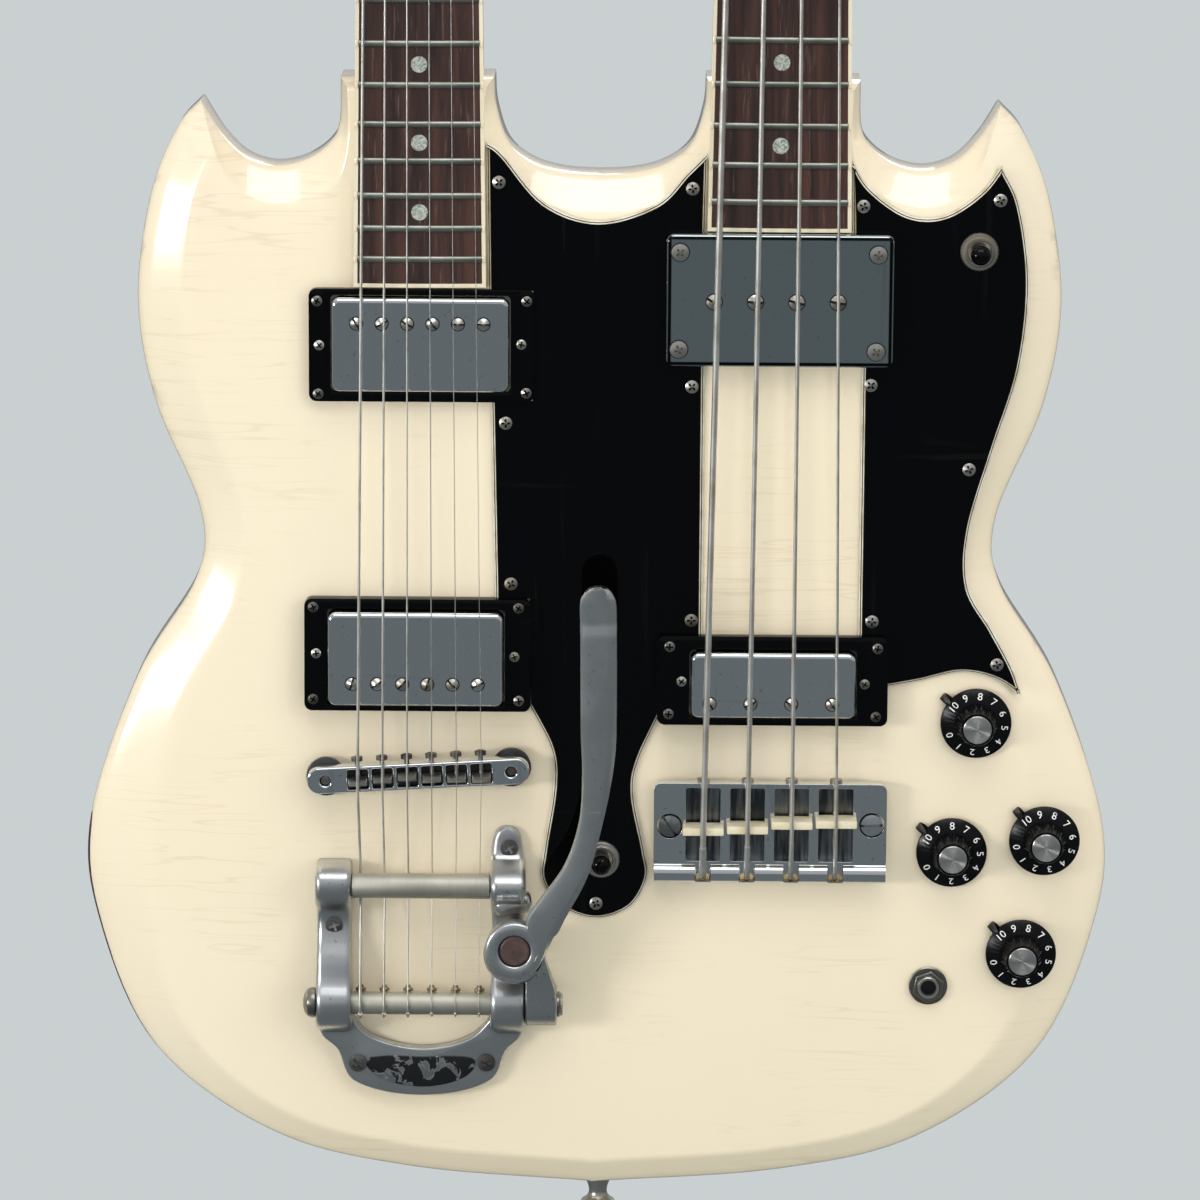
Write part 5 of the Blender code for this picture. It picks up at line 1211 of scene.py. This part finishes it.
BRACKET_TAPER = 0.28
SEAT_PROFILE = [(0, 19.3), (SEAT_RADIUS - 0.8, 19.3), (SEAT_RADIUS, 20.1), (SEAT_RADIUS, 22),
                (SEAT_RADIUS - 1, 23.2), (0, 23.2)]
BOLT_PROFILE = [(0, 22), (BOLT_RADIUS - 0.1, 22), (BOLT_RADIUS - 0.1, 29.6), (BOLT_RADIUS - 1, 30.1),
                (2.4, 29.7), (0, 29.6)]
EYE_PROFILE = [(BOLT_RADIUS + 0.2, 23.5), (EYE_RADIUS - 0.5, 23.5), (EYE_RADIUS, 24), (EYE_RADIUS, 30),
               (EYE_RADIUS - 0.3, 30.6), (EYE_RADIUS - 0.9, 30.95), (BOLT_RADIUS + 0.8, 30.95),
               (BOLT_RADIUS + 0.4, 30.7), (BOLT_RADIUS + 0.2, 30.2), (BOLT_RADIUS + 0.2, 23.5)]
LEFT_END_PROFILE = [(0, 0), (6.1, 0), (6.1, 1.2), (5.5, 2.9), (3.8, 4.2), (1.7, 4.75), (0, 4.8)]
RIGHT_END_PROFILE = [(0, 0), (5.2, 0), (5.2, 0.9), (4.2, 1.9), (2, 2.3), (0, 2.3)]
PIN_PROFILE = [(0, 2.3), (1.15, 2.3), (1.15, 6.6), (0.9, 7.3), (0, 7.6)]
BALL_PROFILE = [(1.2, 4.7), (1.9, 4.85), (2.1, 5.5), (1.9, 6.15), (1.2, 6.3), (1.2, 4.7)]
SPRING_RADIUS = 5
SPRING_TURNS = 3.5
SPRING_STEPS = 24
SPRING_LOW = 8.9
SPRING_LENGTH = 8.9
SPRING_WIRE = 1.1
CAST = (0.61, 0.625, 0.62)
BAR_METAL = (0.57, 0.56, 0.48)
ENAMEL_BLACK = (0.005, 0.005, 0.006)

cast_metal, tree, shader = material("buffed_casting", CAST, 0.24, metallic=1.0)
marks = handled(tree, 1.2)
cloud = band(tree, noise(tree, 55, detail=4, roughness=0.6), 0.35, 0.7)
# Painted shade: the casting's colour turns dark grey in its hollows, where the occlusion is deep.
occlusion = add(tree, "AmbientOcclusion", {"samples": 4}, Distance=3 * MM)
hollow_shade = band(tree, occlusion.outputs["AO"], 0.4, 0.95, 0.85, 0)
tone = blended(tree, calc(tree, "MULTIPLY", cloud, 0.6), CAST, (0.45, 0.47, 0.49))
tone = blended(tree, hollow_shade, tone, (0.17, 0.175, 0.18))
tone = blended(tree, calc(tree, "MULTIPLY", marks["Pit"], 0.35), tone, (0.10, 0.10, 0.10))
scratched = calc(tree, "MULTIPLY", marks["Scratch"], 0.2)
wire(shader, Base_Color=tone, Roughness=calc(tree, "ADD", band(tree, cloud, 0, 1, 0.26, 0.42), scratched),
     Normal=bumped(tree, noise(tree, 700, detail=3), 0.25, 0.08))

bar_metal, tree, shader = material("brushed_bar", BAR_METAL, 0.36, metallic=1.0)
rings_round = noise(tree, 60, stretch=(40, 0.6, 0.6), detail=3)
wire(shader, Base_Color=blended(tree, handled(tree, 1.0)["Smudge"], BAR_METAL, (0.40, 0.385, 0.33)),
     Roughness=band(tree, rings_round, 0.3, 0.7, 0.52, 0.66))

enamel, tree, shader = material("worn_enamel", ENAMEL_BLACK, 0.3)
flaked = band(tree, noise(tree, 130, detail=5, roughness=0.6, distortion=0.6), 0.54, 0.58)
wire(shader, Base_Color=blended(tree, flaked, ENAMEL_BLACK, (0.42, 0.44, 0.45)), Metallic=flaked)

bolt_brown, tree, shader = stained("bolt_brown", (0.045, 0.028, 0.026), (0.10, 0.055, 0.045), 230, 0.35,
                                   0.7, roughness=0.42)

casting = bmesh.new()
for stations in LEG_STATIONS.values():
    sections = []
    for z, left, right, top in smooth_run(stations, 3):
        low = FRAME_LOW * MM
        radius = min(LEG_ROUNDING * MM, (top - low) * 0.7, (right - left) * 0.48)
        points = [Vector((left, z, low))]
        for centre, start in ((left + radius, 180), (right - radius, 90)):
            for step in range(6):
                turn = math.radians(start - 18 * step)
                points.append(Vector((centre + radius * math.cos(turn), z,
                                      top - radius + radius * math.sin(turn))))
        points.append(Vector((right, z, low)))
        sections.append(points)
    leg = bmesh.new()
    skin_between(leg, [ring(leg, points) for points in sections])
    stack(casting, leg)
horseshoe = smooth_run(HORSESHOE_OUTER, 5) + smooth_run(HORSESHOE_INNER, 5)
stack(casting, slab(horseshoe, FRAME_LOW, HORSESHOE_TOP, rim=1.9, rim_steps=5))
stack(casting, bar(EAR_RADIUS, -EAR_HALF_LENGTH, EAR_HALF_LENGTH, sides=32, rim=2.4),
      at(*EAR_PLACE) @ rotated(EAR_TURN) @ ALONG_X)
made(casting, "vibrato_casting", cast_metal, "vibrato_frame", sharp=50)
made(slab(smooth_run(PLAQUE + PLAQUE[:1], 6)[:-1], 5.3, 5.85, rim=0.4), "vibrato_plaque", enamel)
heads = bmesh.new()
for x, z, h in VIBRATO_SCREWS:
    stack(heads, screw_head(3.5, 1.4, dome=0.3), at(x, z, h) @ rotated(z))
made(heads, "vibrato_screws", dull_nickel)

roller = bar(ROLLER_RADIUS, *ROLLER_ENDS, sides=48, rim=0.5)
stack(roller, bar(ROLLER_SHAFT_RADIUS, *ROLLER_SHAFT_ENDS))
made(roller, "hold_down_roller", bar_metal, "vibrato_roller_bar", body="roller",
     place=FACE @ at(0, ROLLER_Z, BARS_H) @ ALONG_X)


def turned(profile, steps=28):
    """A closed shape turned round Z, from (radius, height) points in millimetres."""
    shell = bmesh.new()
    corners = [shell.verts.new((radius * MM, 0, height * MM)) for radius, height in profile]
    line = [shell.edges.new(pair) for pair in zip(corners, corners[1:])]
    bmesh.ops.spin(shell, geom=corners + line, axis=(0, 0, 1), cent=(0, 0, 0), steps=steps,
                   angle=2 * math.pi, use_merge=True)
    bmesh.ops.remove_doubles(shell, verts=shell.verts, dist=1e-6)
    bmesh.ops.recalc_face_normals(shell, faces=shell.faces)
    return shell


made(bar(STRING_BAR_RADIUS, *STRING_BAR_ENDS, sides=40, rim=0.4), "pinned_string_bar", bar_metal,
     "vibrato_string_bar", body="string_bar", place=STRING_BAR @ ALONG_X)
ends = bmesh.new()
stack(ends, turned(LEFT_END_PROFILE), at(-112.3, 0) @ rotated(math.radians(-90), "Y"))
stack(ends, turned(RIGHT_END_PROFILE), at(-15.2, 0) @ ALONG_X)
pins = bmesh.new()
balls = bmesh.new()
for x in PIN_PLACES:
    seat = at(x, 0) @ rotated(-PIN_DROP - math.pi / 2, "X")
    stack(pins, turned(PIN_PROFILE, 16), seat)
    stack(balls, turned(BALL_PROFILE, 20), seat)
for shell, name, look in ((ends, "string_bar_ends", dull_nickel), (pins, "string_bar_pins", dull_nickel),
                          (balls, "guitar_ball_ends", brass)):
    made(shell, name, look, body="string_bar", place=STRING_BAR)

bracket = slab(metres(BRACKET_LINE), *BRACKET_ENDS, rim=1.2, rim_steps=4, both=True)
bmesh.ops.transform(bracket, matrix=ALONG_BAR, verts=bracket.verts)
for corner in bracket.verts:
    if corner.co.x > BRACKET_MIDDLE * MM:
        corner.co.x -= max(0.0, corner.co.y - BRACKET_BEND_Z * MM) * BRACKET_TAPER
stack(bracket, turned(SEAT_PROFILE, 48), at(*SEAT_MIDDLE))
made(bracket, "arm_bracket", cast_metal, body="string_bar", sharp=40)
made(turned(BOLT_PROFILE, 40), "arm_bolt", bolt_brown, body="string_bar",
     place=FACE @ at(*ARM_EYE))


def with_neighbours(points):
    """Each point with the one before and the one after it; an end is its own neighbour."""
    return zip(points[:1] + points, points, points[1:] + points[-1:])


stations = smooth_run(ARM_LINE, 8)
eye_z = ARM_EYE.y * MM
sections = []
for before, here, after in with_neighbours(stations):
    along = (Vector(after[:2]) - Vector(before[:2])).normalized()
    across = Vector((along.y, -along.x))
    top = ARM_TOP * MM + ARM_RISE * MM * max(here[1] - eye_z, 0) / (stations[-1][1] - eye_z)
    crease = ARM_CREASE * MM if here[1] > ARM_CREASE_Z * MM else 0.0
    sections.append([Vector((*(Vector(here[:2]) + across * here[2] * share),
                             top + max(drop, -ARM_THICK) * MM - (crease if drop > -2 else 0)))
                     for share, drop in ARM_SECTION])
blade = bmesh.new()
skin_between(blade, [ring(blade, points) for points in sections])
made(blade, "vibrato_arm_blade", cast_metal, "vibrato_arm", body="arm", sharp=28)
made(turned(EYE_PROFILE, 56), "vibrato_arm_eye", cast_metal, body="arm",
     place=FACE @ at(*ARM_EYE), sharp=50)


def meshed(curve):
    """Turns a curve into a shape and drops the curve."""
    holder = bpy.data.objects.new("curve", curve)
    shell = bmesh.new()
    shell.from_mesh(holder.to_mesh())
    holder.to_mesh_clear()
    bpy.data.objects.remove(holder)
    bpy.data.curves.remove(curve)
    bmesh.ops.remove_doubles(shell, verts=shell.verts, dist=1e-7)
    bmesh.ops.recalc_face_normals(shell, faces=shell.faces)
    return shell


def tube_line(points, radius, sides=10):
    """A round wire through points, in metres, with closed ends; its radius is in millimetres."""
    curve = bpy.data.curves.new("wire", "CURVE")
    curve.dimensions = "3D"
    curve.bevel_depth = radius * MM
    curve.bevel_resolution = max((sides - 4) // 2, 0)
    curve.use_fill_caps = True
    line = curve.splines.new("POLY")
    line.points.add(len(points) - 1)
    for spot, point in zip(line.points, points):
        spot.co = (*point, 1)
    return meshed(curve)


coil = []
for step in range(int(SPRING_TURNS * SPRING_STEPS) + 1):
    turn = 2 * math.pi * step / SPRING_STEPS
    height = SPRING_LOW + SPRING_LENGTH * step / (SPRING_TURNS * SPRING_STEPS)
    across = Vector((math.cos(turn), math.sin(turn))) * SPRING_RADIUS
    coil.append(Vector((*(ARM_EYE + across), height)) * MM)
spring = made(tube_line(coil, SPRING_WIRE, sides=12), "vibrato_coil_spring", old_nickel,
              "vibrato_spring", body=None)
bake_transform(spring)


# Strings: six on the guitar side, four on the bass side. The guitar's wrap round the string bar, pass
# under the hold-down bar and over the saddles; at the heads all are wound round their posts.
WOUND_METAL = (0.88, 0.86, 0.80)
PLAIN_METAL = (0.80, 0.80, 0.77)
ROUND_BAR = 4.85
ROUND_ROLLER = 5.1
ROUND_STEP = math.radians(31 / 3)
TURN_STEPS = 20
TURN_START = math.radians(22)
UNDER_ROLLER = (-12, -4, 5, 14)
BASS_START = (-94.6, 8.0)
BASS_WRAP_SHARE = 0.72
BASS_WRAP = 1.16
GUITAR_WRAP = 0.28
STRINGS = {
    "guitar": {"gauges": GUITAR_GAUGES, "notes": "eadgbe", "saddles": GUITAR_SADDLES, "top": SADDLE_TOP,
               "nut_spread": 35.5, "post": 3, "post_x": 22.5, "post_y": (45, 85, 125), "post_above": 9,
               "turns": 2.5},
    "bass": {"gauges": BASS_GAUGES, "notes": "eadg", "saddles": BASS_SADDLES, "top": BASS_SADDLE_TOP,
             "nut_spread": 32, "post": 4.6, "post_x": 27, "post_y": (62, 122), "post_above": 12,
             "turns": 1.5},
}

wound, tree, shader = stained("wound_string", WOUND_METAL, (0.46, 0.41, 0.33), 70, 0.45, 0.75, 0.7,
                              roughness=0.48, metallic=1.0, detail=3)
wire(shader, Normal=bumped(tree, noise(tree, 2600, stretch=(0.15, 0.15, 1), detail=1), 0.5, 0.1))
plain, tree, shader = stained("plain_string", PLAIN_METAL, (0.50, 0.46, 0.39), 70, 0.45, 0.75, 0.6,
                              roughness=0.36, metallic=1.0, detail=3)


def tail_of(kind, index, x, radius):
    """Where a string starts (mm): in the bass bridge's lip, or under and round the vibrato's bars."""
    if kind == "bass":
        return [Vector((x, BASS_START[0], BASS_START[1] + radius))]
    x = PIN_PLACES[index]
    around = (ROUND_BAR + radius) / math.cos(ROUND_STEP / 2)
    below = ROUND_ROLLER + radius
    tail = [Vector((x, STRING_BAR_Z + around * math.cos(turn), BARS_H + around * math.sin(turn)))
            for turn in (math.radians(270) - ROUND_STEP * step for step in range(19))]
    return tail + [Vector((x, ROLLER_Z + below * math.sin(turn), BARS_H - below * math.cos(turn)))
                   for turn in (math.radians(angle) for angle in UNDER_ROLLER)]


for kind, strings in STRINGS.items():
    neck = NECKS[kind]
    to_neck = FACE.inverted() @ neck["place"]
    to_head = FACE.inverted() @ neck["head_place"]
    last = len(strings["gauges"]) - 1
    for index, gauge in enumerate(strings["gauges"]):
        radius = gauge / 2
        share = index / last - 0.5
        x, z = strings["saddles"][index]
        nut = Vector((share * strings["nut_spread"], neck["length"] + GAP, NUT_RISE + GAP + radius))
        points = [point * MM for point in tail_of(kind, index, x, radius)]
        points += [Vector((x, z - 1, strings["top"])) * MM]
        points += [to_neck @ (nut * MM), to_neck @ ((nut + Vector((0, NUT_LENGTH, 0))) * MM)]
        side = -1 if share < 0 else 1
        post_x, post_y = side * strings["post_x"], strings["post_y"][index if share < 0 else last - index]
        around = strings["post"] + radius + 0.05
        for step in range(int(strings["turns"] * TURN_STEPS) + 1):
            turn = 2 * math.pi * step / TURN_STEPS - TURN_START
            height = strings["post_above"] - 3 - radius - gauge * step / TURN_STEPS
            round_post = Vector((post_x - side * around * math.cos(turn), post_y + around * math.sin(turn),
                                 height))
            points.append(to_head @ (round_post * MM))
        node = f"{kind}_string_{index + 1}_{strings['notes'][index]}"
        bass = kind == "bass"
        look = wound if bass or index < 3 else plain
        made(tube_line(points, radius), node + "_wire", look, node, sharp=60)
        wrapped = [points[0], points[0].lerp(points[1], BASS_WRAP_SHARE)] if bass else points[:15]
        wrap_radius = radius * BASS_WRAP if bass else radius + GUITAR_WRAP
        made(tube_line(wrapped, wrap_radius), node + "_wrap", wound, sharp=60)


# Knobs: black plastic with a fluted cone and a sloping skirt numbered from 0 to 10 in white. A
# spun metal disc is let into the top, and a small bent pointer reads the numbers from under the rim.
KNOB_PLACES = [(151.3, -32), (179.6, -80.1), (142.5, -85.2), (171.1, -127)]
KNOB_TURNS = (143, 131, 150, 136)
POINTER_TURNS = (141, 133, 141, 136)
DIAL_RADIUS = 11.25
DIAL_STEP = -30
NUMBER_SIZE = 4.3
NUMBER_THICKNESS = 0.04
KNOB_FLUTES = 36
KNOB_PROFILE = [
    (0, 13.7), (6.0, 13.7), (6.3, 14.2), (6.5, 13.9), (9.0, 5.0), (9.3, 4.75), (13.5, 2.95), (14.05, 2.5),
    (14.2, 2.0), (14.1, 1.4), (13.6, 1.2), (3, 1.2), (3, -14), (0, -14),
]
POINTER_LINE = [(4, 0.55, 2.0), (15.2, 0.55, 1.9), (16.9, 0.75, 1.7), (17.4, 1.5, 1.5), (16.9, 2.5, 1.3),
                (15.2, 3.1, 1.0), (13.4, 3.7, 0.35)]
DISC_PROFILE = [(0, 13.4), (5.6, 13.4), (5.6, 14.25), (5.35, 14.45), (0, 14.45)]
SKIRT_TOP = Vector((9.3, 4.75))
SKIRT_EDGE = Vector((13.5, 2.95))
CONE_RADIUS = 9.05 * MM
CONE_LOW = 4.9 * MM
CONE_HIGH = 13.9 * MM
FLUTE_DEPTH = 0.035
FLUTE_FADE = 3 * MM
POINTER_HALF = 0.25
DIAL_INK = (0.82, 0.81, 0.77)
SPUN_METAL = (0.62, 0.61, 0.58)

knob_black, tree, shader = material("knob_black", (0.003, 0.003, 0.004), 0.2, ior=1.24)
wire(shader, Roughness=band(tree, handled(tree, 0.7)["Smudge"], 0, 1, 0.18, 0.36))
dial_ink, tree, shader = stained("dial_ink", DIAL_INK, (0.40, 0.39, 0.36), 900, 0.55, 0.68, roughness=0.55,
                                 detail=3)
pointer_metal, tree, shader = stained("pointer_metal", (0.035, 0.03, 0.027), (0.16, 0.15, 0.13), 300, 0.45,
                                      0.7, metallic=1.0)
spun, tree, shader = material("spun_metal", SPUN_METAL, 0.3, metallic=1.0)
shader.inputs["Anisotropic"].default_value = 0.9
shader.inputs["Anisotropic Rotation"].default_value = 0.25
wire(shader, Tangent=add(tree, "Tangent", {"direction_type": "RADIAL", "axis": "Y"}).outputs[0],
     Roughness=band(tree, noise(tree, 500, detail=2), 0.3, 0.7, 0.30, 0.42))


def flat_text(words, size, thickness):
    """Plain characters as a thin raised shape, centred, with their tops towards +Y."""
    letters = bpy.data.curves.new("letters", "FONT")
    letters.body = words
    letters.size = size * MM
    letters.align_x = "CENTER"
    letters.align_y = "CENTER"
    letters.extrude = thickness * MM
    letters.resolution_u = 3
    return meshed(letters)


def fluted(shell, count, depth, strength):
    """Draws flutes into a turned shape, as strongly as its strength at each corner's place says."""
    for corner in shell.verts:
        turn = math.atan2(corner.co.y, corner.co.x) * count
        corner.co.xy *= 1 - depth * (1 + math.cos(turn)) * strength(corner.co)
    return shell


def on_cone(place):
    """How strongly the knob's flutes show: only on its cone, and fading towards its top."""
    if place.xy.length >= CONE_RADIUS or place.z <= CONE_LOW:
        return 0
    return max(0, min(1, (CONE_HIGH - place.z) / FLUTE_FADE))


skirt_fall = math.atan2(SKIRT_TOP.y - SKIRT_EDGE.y, SKIRT_EDGE.x - SKIRT_TOP.x)
skirt_height = SKIRT_TOP.y - (DIAL_RADIUS - SKIRT_TOP.x) * math.tan(skirt_fall)
for index, (x, z) in enumerate(KNOB_PLACES):
    name = f"knob_{index + 1}"
    seat = FACE @ at(x, z)
    shell = fluted(turned(KNOB_PROFILE, KNOB_FLUTES * 4), KNOB_FLUTES, FLUTE_DEPTH, on_cone)
    made(shell, name + "_shape", knob_black, name, body=name, place=seat, sharp=30)
    made(turned(DISC_PROFILE, 48), name + "_spun_disc", spun, body=name, place=seat)
    dial = bmesh.new()
    for number in range(11):
        turn = math.radians(KNOB_TURNS[index] + DIAL_STEP * (10 - number))
        stack(dial, flat_text(str(number), NUMBER_SIZE, NUMBER_THICKNESS),
              rotated(turn - math.pi / 2) @ at(0, DIAL_RADIUS, skirt_height) @ rotated(-skirt_fall, "X"))
    made(dial, name + "_dial", dial_ink, body=name, place=seat)
    strip = bmesh.new()
    strip_rings = []
    for before, here, after in with_neighbours([Vector(point) for point in POINTER_LINE]):
        along = (after - before).xy.normalized()
        lift = Vector((-along.y, along.x)) * POINTER_HALF
        inner, outer = here.xy + lift, here.xy - lift
        corners = ((outer, -1), (outer, 1), (inner, 1), (inner, -1))
        strip_rings.append(ring(strip, [Vector((flat.x, side * here.z, flat.y)) * MM
                                        for flat, side in corners]))
    skin_between(strip, strip_rings)
    pointing = rotated(math.radians(POINTER_TURNS[index]))
    made(strip, name + "_pointer", pointer_metal, place=seat @ pointing)


# Toggle switches: a nickel nut on the guard, and a lever with a black tip that rocks in its bore.
NUT_PROFILE = [(4.5, 4.6), (4.8, 5), (5.5, 5), (5.8, 4.3), (6.5, 4.1), (7.1, 4.1), (7.5, 3.7), (7.7, 3.1),
               (7.7, 2.6), (6, 2.6), (6, -16), (4.5, -16), (4.5, 4.6)]
ROD_PROFILE = [(0, -6.2), (2.1, -5.7), (3.65, -4.1), (4.2, -2), (3.65, 0.1), (2.1, 1.65), (1.6, 3),
               (1.6, 9.5), (0, 9.5)]
NUT_FLUTES = 30
NUT_FLUTE_DEPTH = 0.012
NUT_INNER = 7 * MM
TIP_PROFILE = [(0, 6.2), (1.9, 6.2), (2.6, 7), (3.7, 9.4), (4, 11.4), (3.75, 13.3), (2.8, 14.7),
               (1.5, 15.35), (0, 15.5)]
for label, (x, z) in SWITCH_PLACES.items():
    seat = FACE @ at(x, z)
    switch = "toggle_" + label
    nut = fluted(turned(NUT_PROFILE, NUT_FLUTES * 2), NUT_FLUTES, NUT_FLUTE_DEPTH,
                 lambda place: place.xy.length > NUT_INNER)
    made(nut, switch + "_nut", old_nickel, switch + "_bushing", place=seat)
    made(turned(ROD_PROFILE, 32), switch + "_rod", chrome, switch + "_lever", body=switch,
         place=seat)
    made(turned(TIP_PROFILE, 36), switch + "_tip", gloss_black, body=switch, place=seat)


# Output jack: a threaded bushing through the top, held by a washer and a hexagonal nut.
JACK_PLACE = FACE @ at(134.1, -140.9)
BUSHING_PROFILE = [(3.2, 4.4), (4.0, 4.4), (4.35, 4.05), (4.35, -22), (3.2, -22), (3.2, 4.4)]
WASHER_PROFILE = [(4.4, 0.3), (7.5, 0.3), (7.75, 0.6), (7.75, 1.2), (7.4, 1.5), (4.4, 1.5), (4.4, 0.3)]
BORE_SHADE_PROFILE = [(0, 0.2), (3.2, 0.2), (3.2, 3.4), (2.9, 3.4), (2.9, 0.5), (0, 0.5)]
NUT_TURN = 0.35
NUT_RADIUS = 6.6
NUT_BORE = 4.36
NUT_LOW = 1.5
NUT_HIGH = 3.4
clamp = turned(WASHER_PROFILE, 48)
bore = disc_outline(0, 0, NUT_BORE, steps=36)
hexagon = slab(disc_outline(0, 0, NUT_RADIUS, steps=6), NUT_LOW, NUT_HIGH, rim=0.45, holes=[bore])
stack(clamp, hexagon, rotated(NUT_TURN))
made(turned(BUSHING_PROFILE, 40), "jack_bushing", old_nickel, "output_jack", place=JACK_PLACE)
made(clamp, "jack_washer_and_nut", dull_nickel, place=JACK_PLACE)
# A black cup inside the bushing's bore: painted shade for the dark inside of the jack.
made(turned(BORE_SHADE_PROFILE), "jack_bore_shade", satin_black_and_shade, place=JACK_PLACE)


# Truss rod covers: small black bells on the heads, white at their edges, with two screws each.
TRUSS_LINE = [(-11, 8), (11, 8), (10.6, 12), (9.4, 26), (6.8, 34), (4, 38.6), (0, 40), (-4, 38.6),
              (-6.8, 34), (-9.4, 26), (-10.6, 12)]
BELL_MIDDLE = 23.5 * MM
BELL_EDGE = (0.3, 1.1)
BELL_PLATE = (1.05, 1.85)
BELL_SCREWS = (11.5, 36)
for name, neck in NECKS.items():
    head = neck["head_place"]
    bell = metres(TRUSS_LINE[:2]) + smooth_run(TRUSS_LINE[2:], 4)
    made(slab(bell, *BELL_EDGE), name + "_truss_cover_edge", white_ply, place=head)
    inner = [(x * 0.93, BELL_MIDDLE + (y - BELL_MIDDLE) * 0.95) for x, y in bell]
    made(slab(inner, *BELL_PLATE, rim=0.3), name + "_truss_cover_plate", gloss_black,
         name + "_truss_cover", place=head)
    heads = bmesh.new()
    for y in BELL_SCREWS:
        stack(heads, screw_head(1.7, 1.0), at(0, y, 1.7) @ rotated(y))
    made(heads, name + "_truss_cover_screws", old_nickel, place=head)


# Tuners: plated housings on a strip behind each side of the head, slotted posts through bushings to
# the front, and keyed buttons that turn on their shafts.
PLATE_HALF = 7.5
PLATE_THICK = 2.4
PLATE_END = 12
FIXING_END = 9.2
HOUSING_HALF = (6.5, 7)
HOUSING_DEEP = 9.2
POST_WAIST = 0.88
POST_END = -15.4
BUSHING_WALL = 2.2
BUSHING_ENDS = (-0.1, 1.4)
SHAFT_PROFILE = [(0, -5.7), (2, -5.7), (2, 15.6), (2.6, 16), (2.6, 18), (0, 18)]
KEY_PROFILE = [(3.0, 1.2, 17.5), (3.2, 3.2, 19.2), (3.0, 6.4, 21), (2.6, 8.4, 24), (2.5, 8.7, 27.5),
               (2.5, 8.0, 30.5), (2.2, 6.4, 32.4), (1.2, 3.4, 33)]
KEY_ROUND = disc_outline(0, 0, 1, steps=32)
KEY_METAL = (0.55, 0.55, 0.53)

key_metal, tree, shader = material("key_button_metal", KEY_METAL, 0.22, metallic=1.0)
wire(shader, Base_Color=blended(tree, handled(tree, 1.0)["Smudge"], KEY_METAL, (0.36, 0.34, 0.30)))

below = -HEAD_DEPTH - GAP
shaft_h = below - (PLATE_THICK + HOUSING_DEEP) / 2
for name, strings in STRINGS.items():
    head = NECKS[name]["head_place"]
    radius, top, ys = strings["post"], strings["post_above"], strings["post_y"]
    waist = radius * POST_WAIST
    post_profile = [(0, POST_END), (radius, POST_END), (radius, top - 4.2), (waist, top - 3.4),
                    (waist, top - 1.8), (radius, top - 1), (radius, top - 0.4), (radius - 0.5, top),
                    (0, top)]
    for side, label in ((-1, "left"), (1, "right")):
        x = side * strings["post_x"]
        half_x, half_y = HOUSING_HALF
        strip = box_outline(x - PLATE_HALF, x + PLATE_HALF, ys[0] - PLATE_END, ys[-1] + PLATE_END, corner=3)
        plate = slab(strip, below - PLATE_THICK / 2, below, rim=0.3)
        posts = bmesh.new()
        fixings = bmesh.new()
        for y in ys:
            stack(plate, block((x - half_x, y - half_y, below - HOUSING_DEEP),
                               (x + half_x, y + half_y, below - 0.6), rim=1.6, rim_steps=4))
            stack(plate, bar(radius + BUSHING_WALL, *BUSHING_ENDS, sides=32, rim=0.5), at(x, y))
            stack(posts, turned(post_profile, 32), at(x, y))
        for y in [ys[0] - FIXING_END] + [(a + b) / 2 for a, b in zip(ys, ys[1:])] + [ys[-1] + FIXING_END]:
            stack(fixings, screw_head(1.8, 1.1),
                  at(x, y, below - PLATE_THICK / 2 + 0.1) @ rotated(math.pi, "X") @ rotated(y * 0.7))
        made(plate, f"{name}_tuner_plate_{label}", chrome, f"{name}_tuners_{label}", place=head)
        made(posts, f"{name}_tuner_posts_{label}", old_nickel, place=head)
        made(fixings, f"{name}_tuner_screws_{label}", old_nickel, place=head)
        for index, y in enumerate(ys):
            node = f"{name}_tuner_button_{label}_{index + 1}"
            button = bmesh.new()
            skin_between(button, [ring(button, [(a * wide, b * deep, height * MM) for a, b in KEY_ROUND])
                                  for wide, deep, height in KEY_PROFILE])
            key = turned(SHAFT_PROFILE, 24)
            stack(key, button)
            outward = at(x + side * half_x, y, shaft_h) @ rotated(side * math.pi / 2, "Y")
            made(key, node + "_shape", key_metal, node,
                 body=f"{name}_tuner_{label}_{index + 1}", place=head @ outward)


# Strap buttons: turned nickel buttons held by a screw, on the bottom edge and behind the neck joint.
STRAP_PROFILE = [(0, 12), (5.2, 12), (6.5, 11.6), (7, 10.9), (6.7, 10.1), (5, 9), (3.9, 7.6), (3.6, 6),
                 (3.9, 4), (4.8, 1.6), (5.5, 0.3), (0, 0.3)]
STRAP_SCREW_H = 11.2
STRAP_SEATS = {
    "bottom": at(1.5, -228, -19) @ rotated(math.pi / 2, "X"),
    "heel": at(0, 168, -BODY_THICKNESS) @ rotated(math.pi, "X"),
}
for label, seat in STRAP_SEATS.items():
    button = "strap_button_" + label
    made(turned(STRAP_PROFILE, 40), button + "_shape", old_nickel, button,
         place=FACE @ seat)
    made(screw_head(3.2, 0.8, dome=0.3), button + "_screw", old_nickel,
         place=FACE @ seat @ at(0, 0, STRAP_SCREW_H))
